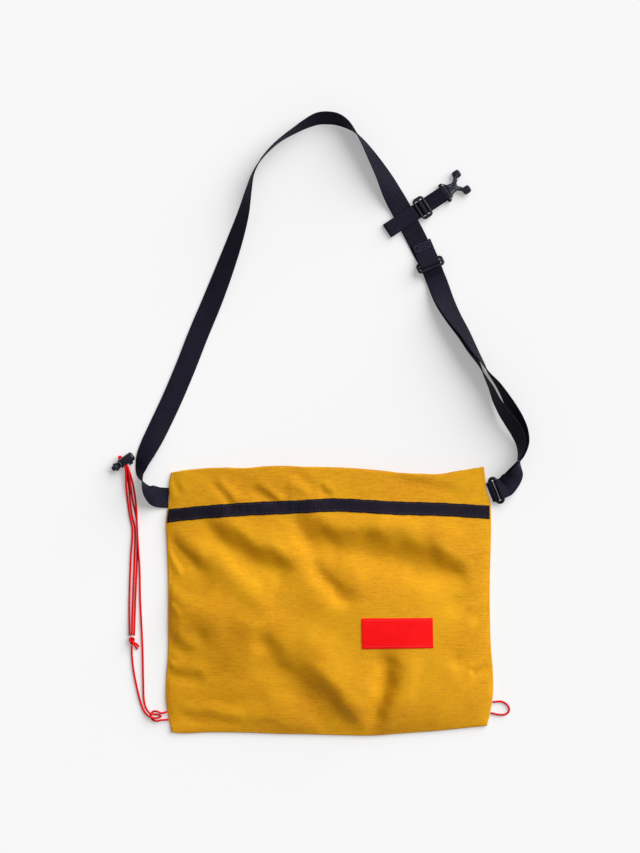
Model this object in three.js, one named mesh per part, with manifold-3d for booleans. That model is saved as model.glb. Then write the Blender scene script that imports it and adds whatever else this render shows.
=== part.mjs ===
// A cycling musette bag lying flat on its back: a pouch of two cloth panels, a webbing shoulder
// strap with its slider and ring, a short stabiliser strap with half a side release buckle, and
// an elastic cord with its cord lock. Millimetres, +X across the bag, +Y towards the strap, +Z up.
// The origin is the middle of the back panel's flat underside.

import * as THREE from 'three';
import { mergeVertices } from 'three/addons/utils/BufferGeometryUtils.js';
import Module from 'manifold-3d';

// Pouch
const bagWidth = 320;
const bagHeight = 262;
const clothThick = 1.4;
const seamGap = 0.3;
const puff = 14;
const puffFullness = 2.4;

// Tape and label sewn on the front. The label's middle is given as shares of half the bag's
// width and half its height.
const hemDepth = 40;
const tapeWide = 13;
const tapeThick = 1;
const labelWide = 71;
const labelHigh = 30;
const labelThick = 1;
const sewnGap = 0.6;
const labelAcross = 0.422;
const labelUp = -0.2375;

// Webbing
const strapWide = 20;
const stabiliserWide = 15;
const webThick = 1.2;
const layerGap = 0.3;
const strapReach = 343;
const strapDrop = 30;

// The side to which the diagonals of the webbing's faces stand out
const splitTowards = new THREE.Vector3(0.7, 0.6, 0.5);

// Sliders, ring and buckle
const barWide = 2.2;
const barDeep = 2.6;
const barBevel = 0.6;
const railWide = 3.2;
const frameCorner = 2;
const slotCorner = 0.6;
const slotPlay = 0.8;
const sliderTilt = THREE.MathUtils.degToRad(38);
const threadSlope = THREE.MathUtils.degToRad(72);
const webbingTail = 24;
const tailBendShare = 0.62;
const runBend = 5;
const easeRadius = 4;
const ringWire = 1.7;
const ringPitch = 7.4;
const ringDrop = 26;
const ringReach = 6.4;
const ringApproach = 4;
const ringTurn = THREE.MathUtils.degToRad(22);
const ringTilt = THREE.MathUtils.degToRad(27);
const stabiliserTurn = THREE.MathUtils.degToRad(95);
const stabiliserTail = 12;
const stabiliserBend = 1;
const startPastStrap = 1;
const bendPastStrap = 1.2;
const endPastSlider = 4;
const sliderToStrap = 9.5;
const buckleToSlider = 26;
const crossingGap = 0.6;
const buckleLength = 24;
const buckleWide = 20;
const buckleDeep = 5;

// Cord lock
const lockRadius = 4.6;
const lockWall = 0.8;
const lockLength = 16.1;
const lockCap = 3.9;
const holeToMouth = 4;
const plungerHead = 5.6;
const plungerWall = 2.4;
const plungerTravel = 3;
const runningGap = 0.3;
const lugLong = 4.5;
const lugHigh = 3;
const lugReach = 1.8;
const lugSeat = 0.2;
const lockAngle = THREE.MathUtils.degToRad(34.5);
const lockX = -203.4;
const lockY = 136.4;
const lipWide = 0.3;
const lipDeep = 0.5;

// Elastic cord
const cordRadius = 1;
const cordPlay = 0.9;
const knotLong = 9.6;
const knotWide = 6.4;
const knotX = -195;
const knotY = -39.2;

// How finely the surfaces are divided
const backSteps = { columns: 20, rows: 10 };
const frontSteps = { columns: 40, rows: 30 };
const tapeSteps = { columns: 60, rows: 1 };
const labelSteps = { columns: 9, rows: 4 };
const stepsPerRow = 2;
const bendStep = THREE.MathUtils.degToRad(30);
const turnedSides = 18;
const barSides = 12;
const ringSteps = 24;
const wireSides = 8;
const knotSides = 12;

// Finishes
const mustard = { color: 0xdc9b14, roughness: 0.9, metalness: 0 };
const navyTape = { color: 0x1b1d33, roughness: 0.7, metalness: 0 };
const redLabel = { color: 0xf3060f, roughness: 0.65, metalness: 0 };
const blackWebbing = { color: 0x14141f, roughness: 0.6, metalness: 0 };
const blackPlastic = { color: 0x16161c, roughness: 0.4, metalness: 0 };
const redElastic = { color: 0xf00a12, roughness: 0.7, metalness: 0 };

const mouthY = bagHeight / 2;
const halfWidth = bagWidth / 2;
const layerPitch = webThick + layerGap;

const wasm = await Module();
wasm.setup();

// Outline of the pouch, as shares of its width or height, counted outwards.
// up runs from 0 at the bottom to 1 at the mouth.
const sideEdges = [
  { up: 0.0, left: -0.012, right: -0.016 },
  { up: 0.03, left: -0.0077, right: -0.0108 },
  { up: 0.12, left: 0.0046, right: 0.0015 },
  { up: 0.21, left: 0.004, right: 0.0015 },
  { up: 0.3, left: -0.0015, right: -0.0046 },
  { up: 0.42, left: -0.0015, right: -0.0077 },
  { up: 0.6, left: -0.0015, right: -0.0077 },
  { up: 0.72, left: 0.002, right: -0.0046 },
  { up: 0.81, left: 0.0046, right: -0.0046 },
  { up: 0.87, left: -0.0015, right: -0.0077 },
  { up: 0.9, left: -0.0046, right: -0.017 },
  { up: 0.96, left: -0.0046, right: -0.023 },
  { up: 1.0, left: -0.012, right: -0.026 },
];

// across runs from -1 at the left seam to 1 at the right seam.
const endEdges = [
  { across: -1.0, top: -0.018, bottom: -0.006 },
  { across: -0.94, top: -0.0132, bottom: -0.0019 },
  { across: -0.76, top: -0.0019, bottom: -0.0056 },
  { across: -0.52, top: -0.0019, bottom: -0.004 },
  { across: -0.33, top: 0.0056, bottom: 0 },
  { across: -0.15, top: 0.0019, bottom: 0.0019 },
  { across: 0.1, top: -0.0019, bottom: 0.0056 },
  { across: 0.28, top: -0.0094, bottom: 0.0065 },
  { across: 0.47, top: -0.0207, bottom: -0.0019 },
  { across: 0.59, top: -0.0244, bottom: -0.007 },
  { across: 0.71, top: -0.0244, bottom: -0.0125 },
  { across: 0.84, top: -0.0132, bottom: -0.0207 },
  { across: 1.0, top: 0.002, bottom: -0.03 },
];

// How far the front stands off the back along the bag's height, as shares of puff.
const frontRise = [
  { up: 0.0, rise: 0 },
  { up: 0.05, rise: 0.34 },
  { up: 0.15, rise: 0.72 },
  { up: 0.35, rise: 1.0 },
  { up: 0.6, rise: 1.02 },
  { up: 0.76, rise: 0.8 },
  { up: 0.86, rise: 0.62 },
  { up: 1.0, rise: 0.5 },
];

// Folds of the front, each along a straight line. Places are shares of half the width and
// half the height from the middle, width is a share of the bag's width, deep a share of the
// local puff: a valley is negative and a ridge positive.
const folds = [
  { name: 'upper left valley', x1: -0.77, y1: 0.6, x2: -0.31, y2: 0.21, width: 0.038, deep: -0.34 },
  { name: 'upper left ridge', x1: -0.86, y1: 0.4, x2: -0.42, y2: 0.02, width: 0.05, deep: 0.26 },
  { name: 'left edge crease', x1: -0.95, y1: 0.42, x2: -0.8, y2: 0.26, width: 0.03, deep: -0.4 },
  { name: 'middle valley', x1: -0.12, y1: 0.42, x2: 0.09, y2: 0.04, width: 0.036, deep: -0.28 },
  { name: 'valley under the tape', x1: -0.2, y1: 0.56, x2: 0.8, y2: 0.2, width: 0.05, deep: -0.24 },
  { name: 'bright swell', x1: -0.7, y1: 0.12, x2: 0.1, y2: 0.0, width: 0.07, deep: 0.16 },
  { name: 'lower valley', x1: -0.4, y1: -0.3, x2: 0.15, y2: -0.97, width: 0.034, deep: -0.36 },
  { name: 'lower ridge', x1: -0.1, y1: -0.3, x2: 0.26, y2: -0.8, width: 0.045, deep: 0.22 },
  { name: 'valley under the label', x1: 0.33, y1: -0.46, x2: 0.27, y2: -0.97, width: 0.036, deep: -0.3 },
  { name: 'lower left dent', x1: -0.82, y1: -0.8, x2: -0.44, y2: -0.74, width: 0.034, deep: -0.26 },
  { name: 'left seam dent', x1: -0.98, y1: -0.2, x2: -0.84, y2: -0.28, width: 0.03, deep: -0.4 },
  { name: 'right seam pull', x1: 0.97, y1: 0.02, x2: 0.78, y2: -0.03, width: 0.03, deep: -0.34 },
  { name: 'right lower pull', x1: 0.97, y1: -0.4, x2: 0.8, y2: -0.46, width: 0.03, deep: -0.34 },
  { name: 'mouth ripple', x1: -0.8, y1: 0.97, x2: -0.3, y2: 0.78, width: 0.03, deep: -0.2 },
];

// The tape's middle line below the mouth, as shares of the hem's depth.
const tapeLine = [
  { across: -1.0, depth: 1.19 },
  { across: -0.79, depth: 1.1 },
  { across: -0.49, depth: 1.01 },
  { across: -0.2, depth: 0.96 },
  { across: 0.03, depth: 0.911 },
  { across: 0.25, depth: 0.948 },
  { across: 0.4, depth: 0.985 },
  { across: 0.7, depth: 1.022 },
  { across: 1.0, depth: 1.1 },
];

// Shoulder strap from the left seam to the slider. across is a share of half the bag's width,
// up a share of the strap's reach above the mouth, roll the webbing's turn about its run in
// degrees (0 flat, 90 on edge), lift the webbing layers that it lies on.
const strapRun = [
  { across: -1.0646, up: -0.0841, roll: 168, lift: 0 },
  { across: -1.1146, up: -0.0705, roll: 124, lift: 0 },
  { across: -1.1471, up: -0.0439, roll: 92, lift: 0 },
  { across: -1.1631, up: -0.0187, roll: 66, lift: 0 },
  { across: -1.1551, up: 0.0072, roll: 50, lift: 0 },
  { across: -1.1323, up: 0.0388, roll: 30, lift: 0 },
  { across: -1.0615, up: 0.1077, roll: 6, lift: 0 },
  { across: -0.9692, up: 0.1996, roll: 0, lift: 0 },
  { across: -0.8862, up: 0.2915, roll: 0, lift: 0 },
  { across: -0.8092, up: 0.3834, roll: 0, lift: 0 },
  { across: -0.7262, up: 0.4753, roll: 10, lift: 0 },
  { across: -0.6492, up: 0.5672, roll: 24, lift: 0 },
  { across: -0.5785, up: 0.6591, roll: 39, lift: 0 },
  { across: -0.5323, up: 0.728, roll: 54, lift: 0 },
  { across: -0.4985, up: 0.7969, roll: 72, lift: 0 },
  { across: -0.4738, up: 0.84, roll: 82, lift: 0 },
  { across: -0.4338, up: 0.8753, roll: 86, lift: 0 },
  { across: -0.3723, up: 0.9103, roll: 89, lift: 0 },
  { across: -0.3015, up: 0.9393, roll: 93, lift: 0 },
  { across: -0.2228, up: 0.9635, roll: 100, lift: 0 },
  { across: -0.1446, up: 0.985, roll: 110, lift: 0 },
  { across: -0.08, up: 0.9982, roll: 119, lift: 0 },
  { across: -0.0228, up: 1.0011, roll: 122, lift: 0 },
  { across: 0.0431, up: 0.9971, roll: 119, lift: 0 },
  { across: 0.1015, up: 0.9833, roll: 107, lift: 0 },
  { across: 0.1495, up: 0.9635, roll: 90, lift: 0 },
  { across: 0.2031, up: 0.9319, roll: 75, lift: 0 },
  { across: 0.2615, up: 0.8888, roll: 59, lift: 0 },
  { across: 0.3262, up: 0.8371, roll: 41, lift: 0 },
  { across: 0.3815, up: 0.7869, roll: 18, lift: 0.3 },
  { across: 0.4277, up: 0.7481, roll: 0, lift: 1 },
  { across: 0.4671, up: 0.7141, roll: 0, lift: 1, mark: 'stabiliser' },
  { across: 0.4935, up: 0.6911, roll: 0, lift: 1 },
  { across: 0.5262, up: 0.6619, roll: 0, lift: 0.2 },
  { across: 0.5662, up: 0.6246, roll: 0, lift: 0 },
  { across: 0.6154, up: 0.5816, roll: 0, lift: 0, mark: 'slider' },
];

// The doubled run from the slider to the ring: its middle line, and how far the two layers
// stand apart in webbing layers.
const doubledRun = [
  { across: 0.6578, up: 0.533, roll: 0, apart: 1 },
  { across: 0.7046, up: 0.4753, roll: 24, apart: 1.3 },
  { across: 0.7569, up: 0.4293, roll: 42, apart: 1.5 },
  { across: 0.8185, up: 0.3834, roll: 57, apart: 2.0 },
  { across: 0.8738, up: 0.3374, roll: 68, apart: 2.2 },
  { across: 0.9231, up: 0.3001, roll: 80, apart: 2.5 },
  { across: 0.9631, up: 0.2656, roll: 90, apart: 3.4 },
  { across: 1.0092, up: 0.2326, roll: 100, apart: 5.2 },
  { across: 1.0462, up: 0.1996, roll: 108, apart: 6.8 },
  { across: 1.0923, up: 0.1623, roll: 118, apart: 7.0 },
  { across: 1.1292, up: 0.1335, roll: 124, apart: 5.9 },
  { across: 1.16, up: 0.1048, roll: 124, apart: 4.4 },
  { across: 1.1785, up: 0.0732, roll: 116, apart: 2.8 },
  { across: 1.1754, up: 0.0445, roll: 102, apart: 1.6 },
  { across: 1.1582, up: 0.0187, roll: 86, apart: 1.4 },
  { across: 1.1415, up: -0.0043, roll: 58, apart: 2.2 },
  { across: 1.1215, up: -0.0273, roll: 30, apart: 2.6 },
];

// Outline of one side of the buckle half, from the bar's end to the crotch between the prongs,
// as shares of its length and of half its width.
const buckleSide = [
  { along: -0.07, out: 0.86 },
  { along: -0.03, out: 1.0 },
  { along: 0.07, out: 1.0 },
  { along: 0.15, out: 0.82 },
  { along: 0.26, out: 0.58 },
  { along: 0.38, out: 0.48 },
  { along: 0.48, out: 0.46 },
  { along: 0.56, out: 0.6 },
  { along: 0.64, out: 0.78 },
  { along: 0.67, out: 1.2 },
  { along: 0.73, out: 1.27 },
  { along: 0.93, out: 1.27 },
  { along: 0.98, out: 1.16 },
  { along: 0.98, out: 0.64 },
  { along: 0.93, out: 0.54 },
  { along: 0.75, out: 0.52 },
  { along: 0.71, out: 0.36 },
  { along: 0.62, out: 0.14 },
];

// Rounded end of the cord lock's barrel: the radius as a share of the lock's, and the distance
// back from the closed end as a share of the cap's length.
const capRound = [
  { radius: 1.0, back: 0.5 },
  { radius: 0.84, back: 0.154 },
  { radius: 0.5, back: 0 },
];

// The plunger's button from its tip inwards: the radius as a share of the lock's, and the place
// as a share of the button's length.
const buttonRound = [
  { radius: 0, along: 0 },
  { radius: 0.46, along: 0 },
  { radius: 0.56, along: 0.08 },
  { radius: 0.56, along: 0.44 },
  { radius: 0.92, along: 0.53 },
  { radius: 0.92, along: 1 },
];

// Routes of the elastic cords, chosen points on their middle lines.
const lockCordLongRoute = [
  [-195.2, -44.35, 2.6],
  [-195.0, -54.0, 1.0],
  [-193.2, -70.0, 1.0],
  [-190.0, -86.0, 1.0],
  [-186.1, -101.5, 1.0],
  [-182.0, -110.4, 1.6],
  [-176.5, -114.6, 3.5],
  [-170.0, -115.6, 2.0],
  [-166.6, -113.8, 1.0],
  [-170.0, -111.9, 2.0],
  [-176.5, -111.2, 3.5],
  [-180.8, -106.4, 1.8],
  [-183.0, -99.0, 1.0],
  [-183.9, -78.0, 1.0],
  [-184.6, -46.0, 1.0],
  [-186.9, 2.0, 1.0],
  [-187.5, 32.0, 1.1],
  [-188.6, 50.0, 3.15],
  [-189.9, 76.0, 3.2],
  [-190.4, 88.0, 3.1],
  [-191.6, 100.0, 2.2],
  [-194.47, 116.44, 2.4],
  [-199.62, 132.93, 3.75],
  [-205.28, 141.17, 3.75],
  [-206.1, 141.83, 3.75],
  [-207.08, 141.76, 3.75],
  [-207.5, 140.86, 3.75],
  [-207.18, 139.87, 3.75],
  [-201.52, 131.63, 3.75],
  [-198.09, 112.86, 1.6],
  [-196.8, 98.0, 1.0],
  [-194.6, 82.0, 1.0],
  [-192.2, 72.0, 1.0],
  [-192.4, 44.0, 1.0],
  [-193.9, 4.0, 1.0],
  [-195.0, -34.1, 3.0],
];

const lockCordShortRoute = [
  [-197.2, -34.4, 2.2],
  [-197.6, -6.0, 1.0],
  [-196.0, 44.0, 1.0],
  [-194.6, 70.0, 1.0],
  [-197.2, 84.0, 1.0],
  [-199.2, 98.0, 1.0],
  [-200.59, 112.86, 2.9],
  [-201.52, 131.63, 6.05],
  [-207.18, 139.87, 6.05],
  [-207.5, 140.86, 6.05],
  [-207.08, 141.76, 6.05],
  [-206.1, 141.83, 6.05],
  [-205.28, 141.17, 6.05],
  [-199.62, 132.93, 6.05],
  [-196.29, 112.86, 3.7],
  [-194.2, 98.0, 1.2],
  [-191.0, 84.0, 1.0],
  [-189.7, 70.0, 1.0],
  [-189.9, 44.0, 1.0],
  [-191.5, 4.0, 1.0],
  [-192.8, -34.4, 2.2],
];

const seamCordLeftRoute = [
  [-160.4, -109.4, 1.4],
  [-166.0, -110.6, 3.3],
  [-170.5, -108.8, 3.2],
  [-174.4, -109.4, 1.0],
  [-176.6, -113.0, 1.0],
  [-174.8, -117.0, 1.0],
  [-170.5, -118.4, 3.0],
  [-166.0, -117.4, 3.3],
  [-158.95, -117.2, 1.4],
];

const seamCordRightRoute = [
  [160.0, -99.8, 1.4],
  [168.2, -99.4, 1.0],
  [173.0, -101.4, 1.0],
  [176.2, -105.6, 1.0],
  [176.0, -109.2, 1.0],
  [172.6, -112.0, 1.0],
  [167.0, -112.4, 1.0],
  [158.1, -110.6, 1.4],
];

const model = new THREE.Group();

function addPiece(name, geometry, finish) {
  const piece = new THREE.Mesh(geometry, new THREE.MeshStandardMaterial(finish));
  piece.name = name;
  model.add(piece);
  return piece;
}

// A smooth function through one column of a table.
function smoothColumn(rows, place, value) {
  const places = rows.map((row) => row[place]);
  const values = rows.map((row) => row[value]);
  const curve = new THREE.CubicInterpolant(places, values, 1, new Float64Array(1));
  return (at) => curve.evaluate(at)[0];
}

const leftOut = smoothColumn(sideEdges, 'up', 'left');
const rightOut = smoothColumn(sideEdges, 'up', 'right');
const topOut = smoothColumn(endEdges, 'across', 'top');
const bottomOut = smoothColumn(endEdges, 'across', 'bottom');
const riseAt = smoothColumn(frontRise, 'up', 'rise');
const tapeDepth = smoothColumn(tapeLine, 'across', 'depth');

function leftEdge(up) {
  return -halfWidth - bagWidth * leftOut(up);
}

function rightEdge(up) {
  return halfWidth + bagWidth * rightOut(up);
}

function topEdge(across) {
  return mouthY + bagHeight * topOut(across);
}

function bottomEdge(across) {
  return -mouthY - bagHeight * bottomOut(across);
}

// Place in the panels' plane: u from 0 at the left seam, v from 0 at the bottom fold.
function panelPlace(u, v) {
  const across = 2 * u - 1;
  const x = THREE.MathUtils.lerp(leftEdge(v), rightEdge(v), u);
  const y = THREE.MathUtils.lerp(bottomEdge(across), topEdge(across), v);
  return { x, y };
}

function shareUp(u, y) {
  const across = 2 * u - 1;
  return (y - bottomEdge(across)) / (topEdge(across) - bottomEdge(across));
}

// A fold falls off on both sides of its line as a bell curve.
function foldAt(fold, x, y) {
  const start = new THREE.Vector2(fold.x1 * halfWidth, fold.y1 * mouthY);
  const end = new THREE.Vector2(fold.x2 * halfWidth, fold.y2 * mouthY);
  const run = end.clone().sub(start);
  const here = new THREE.Vector2(x, y).sub(start);
  const share = THREE.MathUtils.clamp(here.dot(run) / run.lengthSq(), 0, 1);
  const away = here.sub(run.multiplyScalar(share)).length() / (fold.width * bagWidth);
  return fold.deep * Math.exp(-away * away);
}

// Height of the front panel's outer face: nothing at the seams and the bottom fold, puffed in
// the middle, and half as high at the open mouth.
function frontHeight(u, v) {
  const { x, y } = panelPlace(u, v);
  const sideways = 1 - Math.pow(Math.abs(2 * u - 1), puffFullness);
  const folded = folds.reduce((sum, fold) => sum + foldAt(fold, x, y), 1);
  return clothThick + seamGap + clothThick + puff * sideways * riseAt(v) * folded;
}

// A sheet from a thin box: place gives a corner's x and y, lower and upper its two faces.
function sheetGeometry(steps, place, lower, upper) {
  const box = new THREE.BoxGeometry(1, 1, 1, steps.columns, steps.rows, 1);
  const corners = box.attributes.position;
  for (let i = 0; i < corners.count; i += 1) {
    const u = corners.getX(i) + 0.5;
    const v = corners.getY(i) + 0.5;
    const { x, y } = place(u, v);
    corners.setXYZ(i, x, y, corners.getZ(i) < 0 ? lower(u, v) : upper(u, v));
  }
  return box;
}

function addPouch() {
  const flat = (z) => () => z;
  const back = sheetGeometry(backSteps, panelPlace, flat(0), flat(clothThick));
  addPiece('bag_back', back, mustard);
  const inner = (u, v) => frontHeight(u, v) - clothThick;
  addPiece('bag_front', sheetGeometry(frontSteps, panelPlace, inner, frontHeight), mustard);
}

// A flat piece sewn on the front: toPanel turns its own u and v into the panel's.
function sewnOn(steps, toPanel, thick) {
  const place = (u, v) => panelPlace(...toPanel(u, v));
  const lower = (u, v) => frontHeight(...toPanel(u, v)) + sewnGap;
  const upper = (u, v) => lower(u, v) + thick;
  return sheetGeometry(steps, place, lower, upper);
}

function addTapeAndLabel() {
  const tapePlace = (u, v) => {
    const y = mouthY - hemDepth * tapeDepth(2 * u - 1) + (v - 0.5) * tapeWide;
    return [u, shareUp(u, y)];
  };
  addPiece('opening_tape', sewnOn(tapeSteps, tapePlace, tapeThick), navyTape);
  const labelPlace = (u, v) => {
    const panelU = (labelAcross * halfWidth + (u - 0.5) * labelWide) / bagWidth + 0.5;
    return [panelU, shareUp(panelU, labelUp * mouthY + (v - 0.5) * labelHigh)];
  };
  addPiece('label', sewnOn(labelSteps, labelPlace, labelThick), redLabel);
}

// A flat webbing through sections, each a middle point and the direction of its width.
function webbingGeometry(sections, wide) {
  const steps = sections.length - 1;
  const box = new THREE.BoxGeometry(wide, webThick, 1, 1, 1, steps);
  const corners = box.attributes.position;
  const frames = sections.map((section, i) => {
    const before = sections[Math.max(i - 1, 0)].at;
    const after = sections[Math.min(i + 1, steps)].at;
    const run = after.clone().sub(before).normalize();
    const side = section.wide.clone().addScaledVector(run, -section.wide.dot(run)).normalize();
    return { at: section.at, run, side };
  });
  frames.forEach((frame, i) => {
    if (i > 0 && frame.side.dot(frames[i - 1].side) < 0) {
      frame.side.negate();
    }
  });
  for (let i = 0; i < corners.count; i += 1) {
    const frame = frames[Math.round((corners.getZ(i) + 0.5) * steps)];
    const thickness = frame.run.clone().cross(frame.side);
    const corner = frame.at.clone();
    corner.addScaledVector(frame.side, corners.getX(i));
    corner.addScaledVector(thickness, corners.getY(i));
    corners.setXYZ(i, corner.x, corner.y, corner.z);
  }
  splitWideFaces(box);
  return box;
}

// Each four-cornered step of the wide faces is split along the diagonal that stands further out
// to one fixed side, so the two faces of a twisted webbing stay parallel and its layers clear.
// A step's corners a, b, c, d run round it, and its two triangles are a b d and b c d.
function splitWideFaces(box) {
  const corners = box.attributes.position;
  const wideFaces = box.groups.slice(2, 4);
  wideFaces.forEach(({ start, count }) => {
    for (let i = start; i < start + count; i += 6) {
      const [a, b, d, , c] = Array.from({ length: 5 }, (_, k) => box.index.getX(i + k));
      const [atA, atB, atC, atD] = [a, b, c, d].map((corner) => {
        return new THREE.Vector3().fromBufferAttribute(corners, corner);
      });
      const standsOut = atA.add(atC).sub(atB).sub(atD).dot(splitTowards);
      if (standsOut > 0) {
        [a, b, c, a, c, d].forEach((corner, k) => box.index.setX(i + k, corner));
      }
    }
  });
}

function routePoint(row) {
  return new THREE.Vector3(row.across * halfWidth, mouthY + row.up * strapReach, 0);
}

// Sections along table rows that already have their point. layer is 0 for a single webbing,
// -1 and 1 for the lower and upper layer of a doubled one.
function routeSections(rows, layer) {
  const curve = new THREE.CatmullRomCurve3(rows.map((row) => row.point), false, 'centripetal');
  const numbered = rows.map((row, i) => ({ ...row, i, apart: row.apart ?? 0 }));
  const rollAt = smoothColumn(numbered, 'i', 'roll');
  const liftAt = smoothColumn(numbered, 'i', 'lift');
  const apartAt = smoothColumn(numbered, 'i', 'apart');
  const count = (rows.length - 1) * stepsPerRow;
  return Array.from({ length: count + 1 }, (_, step) => {
    const index = step / stepsPerRow;
    const at = curve.getPoint(step / count);
    const run = curve.getTangent(step / count);
    const roll = THREE.MathUtils.degToRad(rollAt(index));
    const apart = apartAt(index) * layerPitch;
    const flatSide = new THREE.Vector3(run.y, -run.x, 0).normalize();
    const wide = flatSide.clone().multiplyScalar(Math.cos(roll));
    wide.z = Math.sin(roll);
    const normal = flatSide.clone().multiplyScalar(-Math.sin(roll));
    normal.z = Math.cos(roll);
    const edgeHeight = (strapWide / 2) * Math.abs(Math.sin(roll));
    const stackHeight = ((webThick + apart) / 2) * Math.abs(Math.cos(roll));
    at.z = edgeHeight + stackHeight + liftAt(index) * layerPitch;
    at.addScaledVector(normal, (layer * apart) / 2);
    return { at, wide };
  });
}

// The path of a webbing round bars, in an upright plane: arcs on the bars and straight runs
// between them. A stop's r is its arc's radius, positive where the path turns clockwise,
// 0 at a plain end. A turn the other way by less than slack is a path that grazes its bar.
function beltPath(stops) {
  const slack = 0.5;
  const legs = stops.slice(1).map((next, i) => {
    const stop = stops[i];
    const run = next.s - stop.s;
    const rise = next.z - stop.z;
    return Math.atan2(rise, run) - Math.asin((stop.r - next.r) / Math.hypot(run, rise));
  });
  const points = [];
  stops.forEach((stop, i) => {
    const into = legs[Math.max(i - 1, 0)];
    const out = legs[Math.min(i, legs.length - 1)];
    let turn = Math.atan2(Math.sin(out - into), Math.cos(out - into));
    if (stop.r > 0 && turn > slack) {
      turn -= 2 * Math.PI;
    }
    if (stop.r < 0 && turn < -slack) {
      turn += 2 * Math.PI;
    }
    const count = stop.r === 0 ? 0 : Math.max(1, Math.ceil(Math.abs(turn) / bendStep));
    for (let step = 0; step <= count; step += 1) {
      const angle = into + (count === 0 ? 0 : (turn * step) / count);
      points.push({ s: stop.s - stop.r * Math.sin(angle), z: stop.z + stop.r * Math.cos(angle) });
    }
  });
  return points;
}

// Sections of a belt path that runs from origin along a level direction.
function beltSections(stops, origin, along) {
  const wide = new THREE.Vector3(-along.y, along.x, 0);
  return beltPath(stops).map((point) => {
    const at = origin.clone().addScaledVector(along, point.s);
    at.z = point.z;
    return { at, wide };
  });
}

const barReach = Math.hypot(barWide / 2 - barBevel, barDeep / 2);
const barWrap = barReach + layerGap + webThick / 2;
const slotPitch = (2 * barWrap) / Math.sin(threadSlope);

function roundedRect(path, x0, y0, x1, y1, radius) {
  path.moveTo(x0 + radius, y0);
  path.lineTo(x1 - radius, y0);
  path.quadraticCurveTo(x1, y0, x1, y0 + radius);
  path.lineTo(x1, y1 - radius);
  path.quadraticCurveTo(x1, y1, x1 - radius, y1);
  path.lineTo(x0 + radius, y1);
  path.quadraticCurveTo(x0, y1, x0, y1 - radius);
  path.lineTo(x0, y0 + radius);
  path.quadraticCurveTo(x0, y0, x0 + radius, y0);
  return path;
}

function bevelledPlate(shape, deep, bevel) {
  const plate = new THREE.ExtrudeGeometry(shape, {
    depth: deep - 2 * bevel,
    bevelThickness: bevel,
    bevelSize: bevel,
    bevelOffset: -bevel,
    bevelSegments: 1,
    curveSegments: 3,
  });
  plate.translate(0, 0, bevel - deep / 2);
  return plate;
}

// A three-bar slider about its own middle: x along the webbing, y along the bars.
function sliderGeometry(webbingWide) {
  const slotHalf = webbingWide / 2 + slotPlay;
  const outerHalf = slotHalf + railWide;
  const outerReach = slotPitch + barWide / 2;
  const shape = new THREE.Shape();
  roundedRect(shape, -outerReach, -outerHalf, outerReach, outerHalf, frameCorner);
  const slotNear = barWide / 2;
  const slotFar = slotPitch - barWide / 2;
  const slots = [[slotNear, slotFar], [-slotFar, -slotNear]];
  slots.forEach(([from, to]) => {
    shape.holes.push(roundedRect(new THREE.Path(), from, -slotHalf, to, slotHalf, slotCorner));
  });
  return bevelledPlate(shape, barDeep, barBevel);
}

// A wire loop with two long straight bars, about its own middle, from a torus whose ring is
// drawn out: x across from bar to bar, y along the bars.
function ringGeometry() {
  const barHalf = strapWide / 2 + slotPlay + ringWire;
  const corner = ringPitch / 2;
  const torus = new THREE.TorusGeometry(corner, ringWire, wireSides, ringSteps);
  torus.rotateZ(Math.PI / ringSteps);
  const corners = torus.attributes.position;
  for (let i = 0; i < corners.count; i += 1) {
    corners.setY(i, corners.getY(i) + Math.sign(corners.getY(i)) * (barHalf - corner));
  }
  return torus;
}

function cleanGeometry(geometry) {
  const bare = geometry.index === null ? geometry : geometry.toNonIndexed();
  bare.deleteAttribute('normal');
  bare.deleteAttribute('uv');
  return mergeVertices(bare, 1e-4);
}

function toSolid(geometry) {
  const merged = cleanGeometry(geometry);
  return new wasm.Manifold(new wasm.Mesh({
    numProp: 3,
    vertProperties: new Float32Array(merged.attributes.position.array),
    triVerts: new Uint32Array(merged.index.array),
  }));
}

function fromSolid(solid) {
  const mesh = solid.getMesh();
  const geometry = new THREE.BufferGeometry();
  geometry.setAttribute('position', new THREE.BufferAttribute(mesh.vertProperties, 3));
  geometry.setIndex(new THREE.BufferAttribute(mesh.triVerts, 1));
  geometry.computeVertexNormals();
  return geometry;
}

// Fixed places on the strap that the hardware takes.
const strapRows = strapRun.map((row) => ({ ...row, point: routePoint(row) }));
const doubledRows = doubledRun.map((row) => ({ ...row, lift: 0, point: routePoint(row) }));
const sliderPoint = strapRows.find((row) => row.mark === 'slider').point;
const sliderRun = doubledRows[0].point.clone().sub(sliderPoint);
const sliderAlong = sliderRun.clone().normalize();
const sliderHeight = webThick + layerGap + barReach + slotPitch * Math.sin(sliderTilt);

// The ring at the right seam, just above the tape.
const ringWrap = ringWire + layerGap + webThick / 2;
const tabBarHeight = ringWrap + webThick / 2;
const strapBarHeight = tabBarHeight + ringPitch * Math.sin(ringTilt);
const ringOut = new THREE.Vector3(Math.cos(ringTurn), Math.sin(ringTurn), 0);
const ringUp = 1 - ringDrop / bagHeight;
const ringSeam = new THREE.Vector3(rightEdge(ringUp), mouthY - ringDrop, 0);
const tabBar = ringSeam.clone().addScaledVector(ringOut, ringReach);
const strapBar = tabBar.clone().addScaledVector(ringOut, ringPitch * Math.cos(ringTilt));

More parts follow.
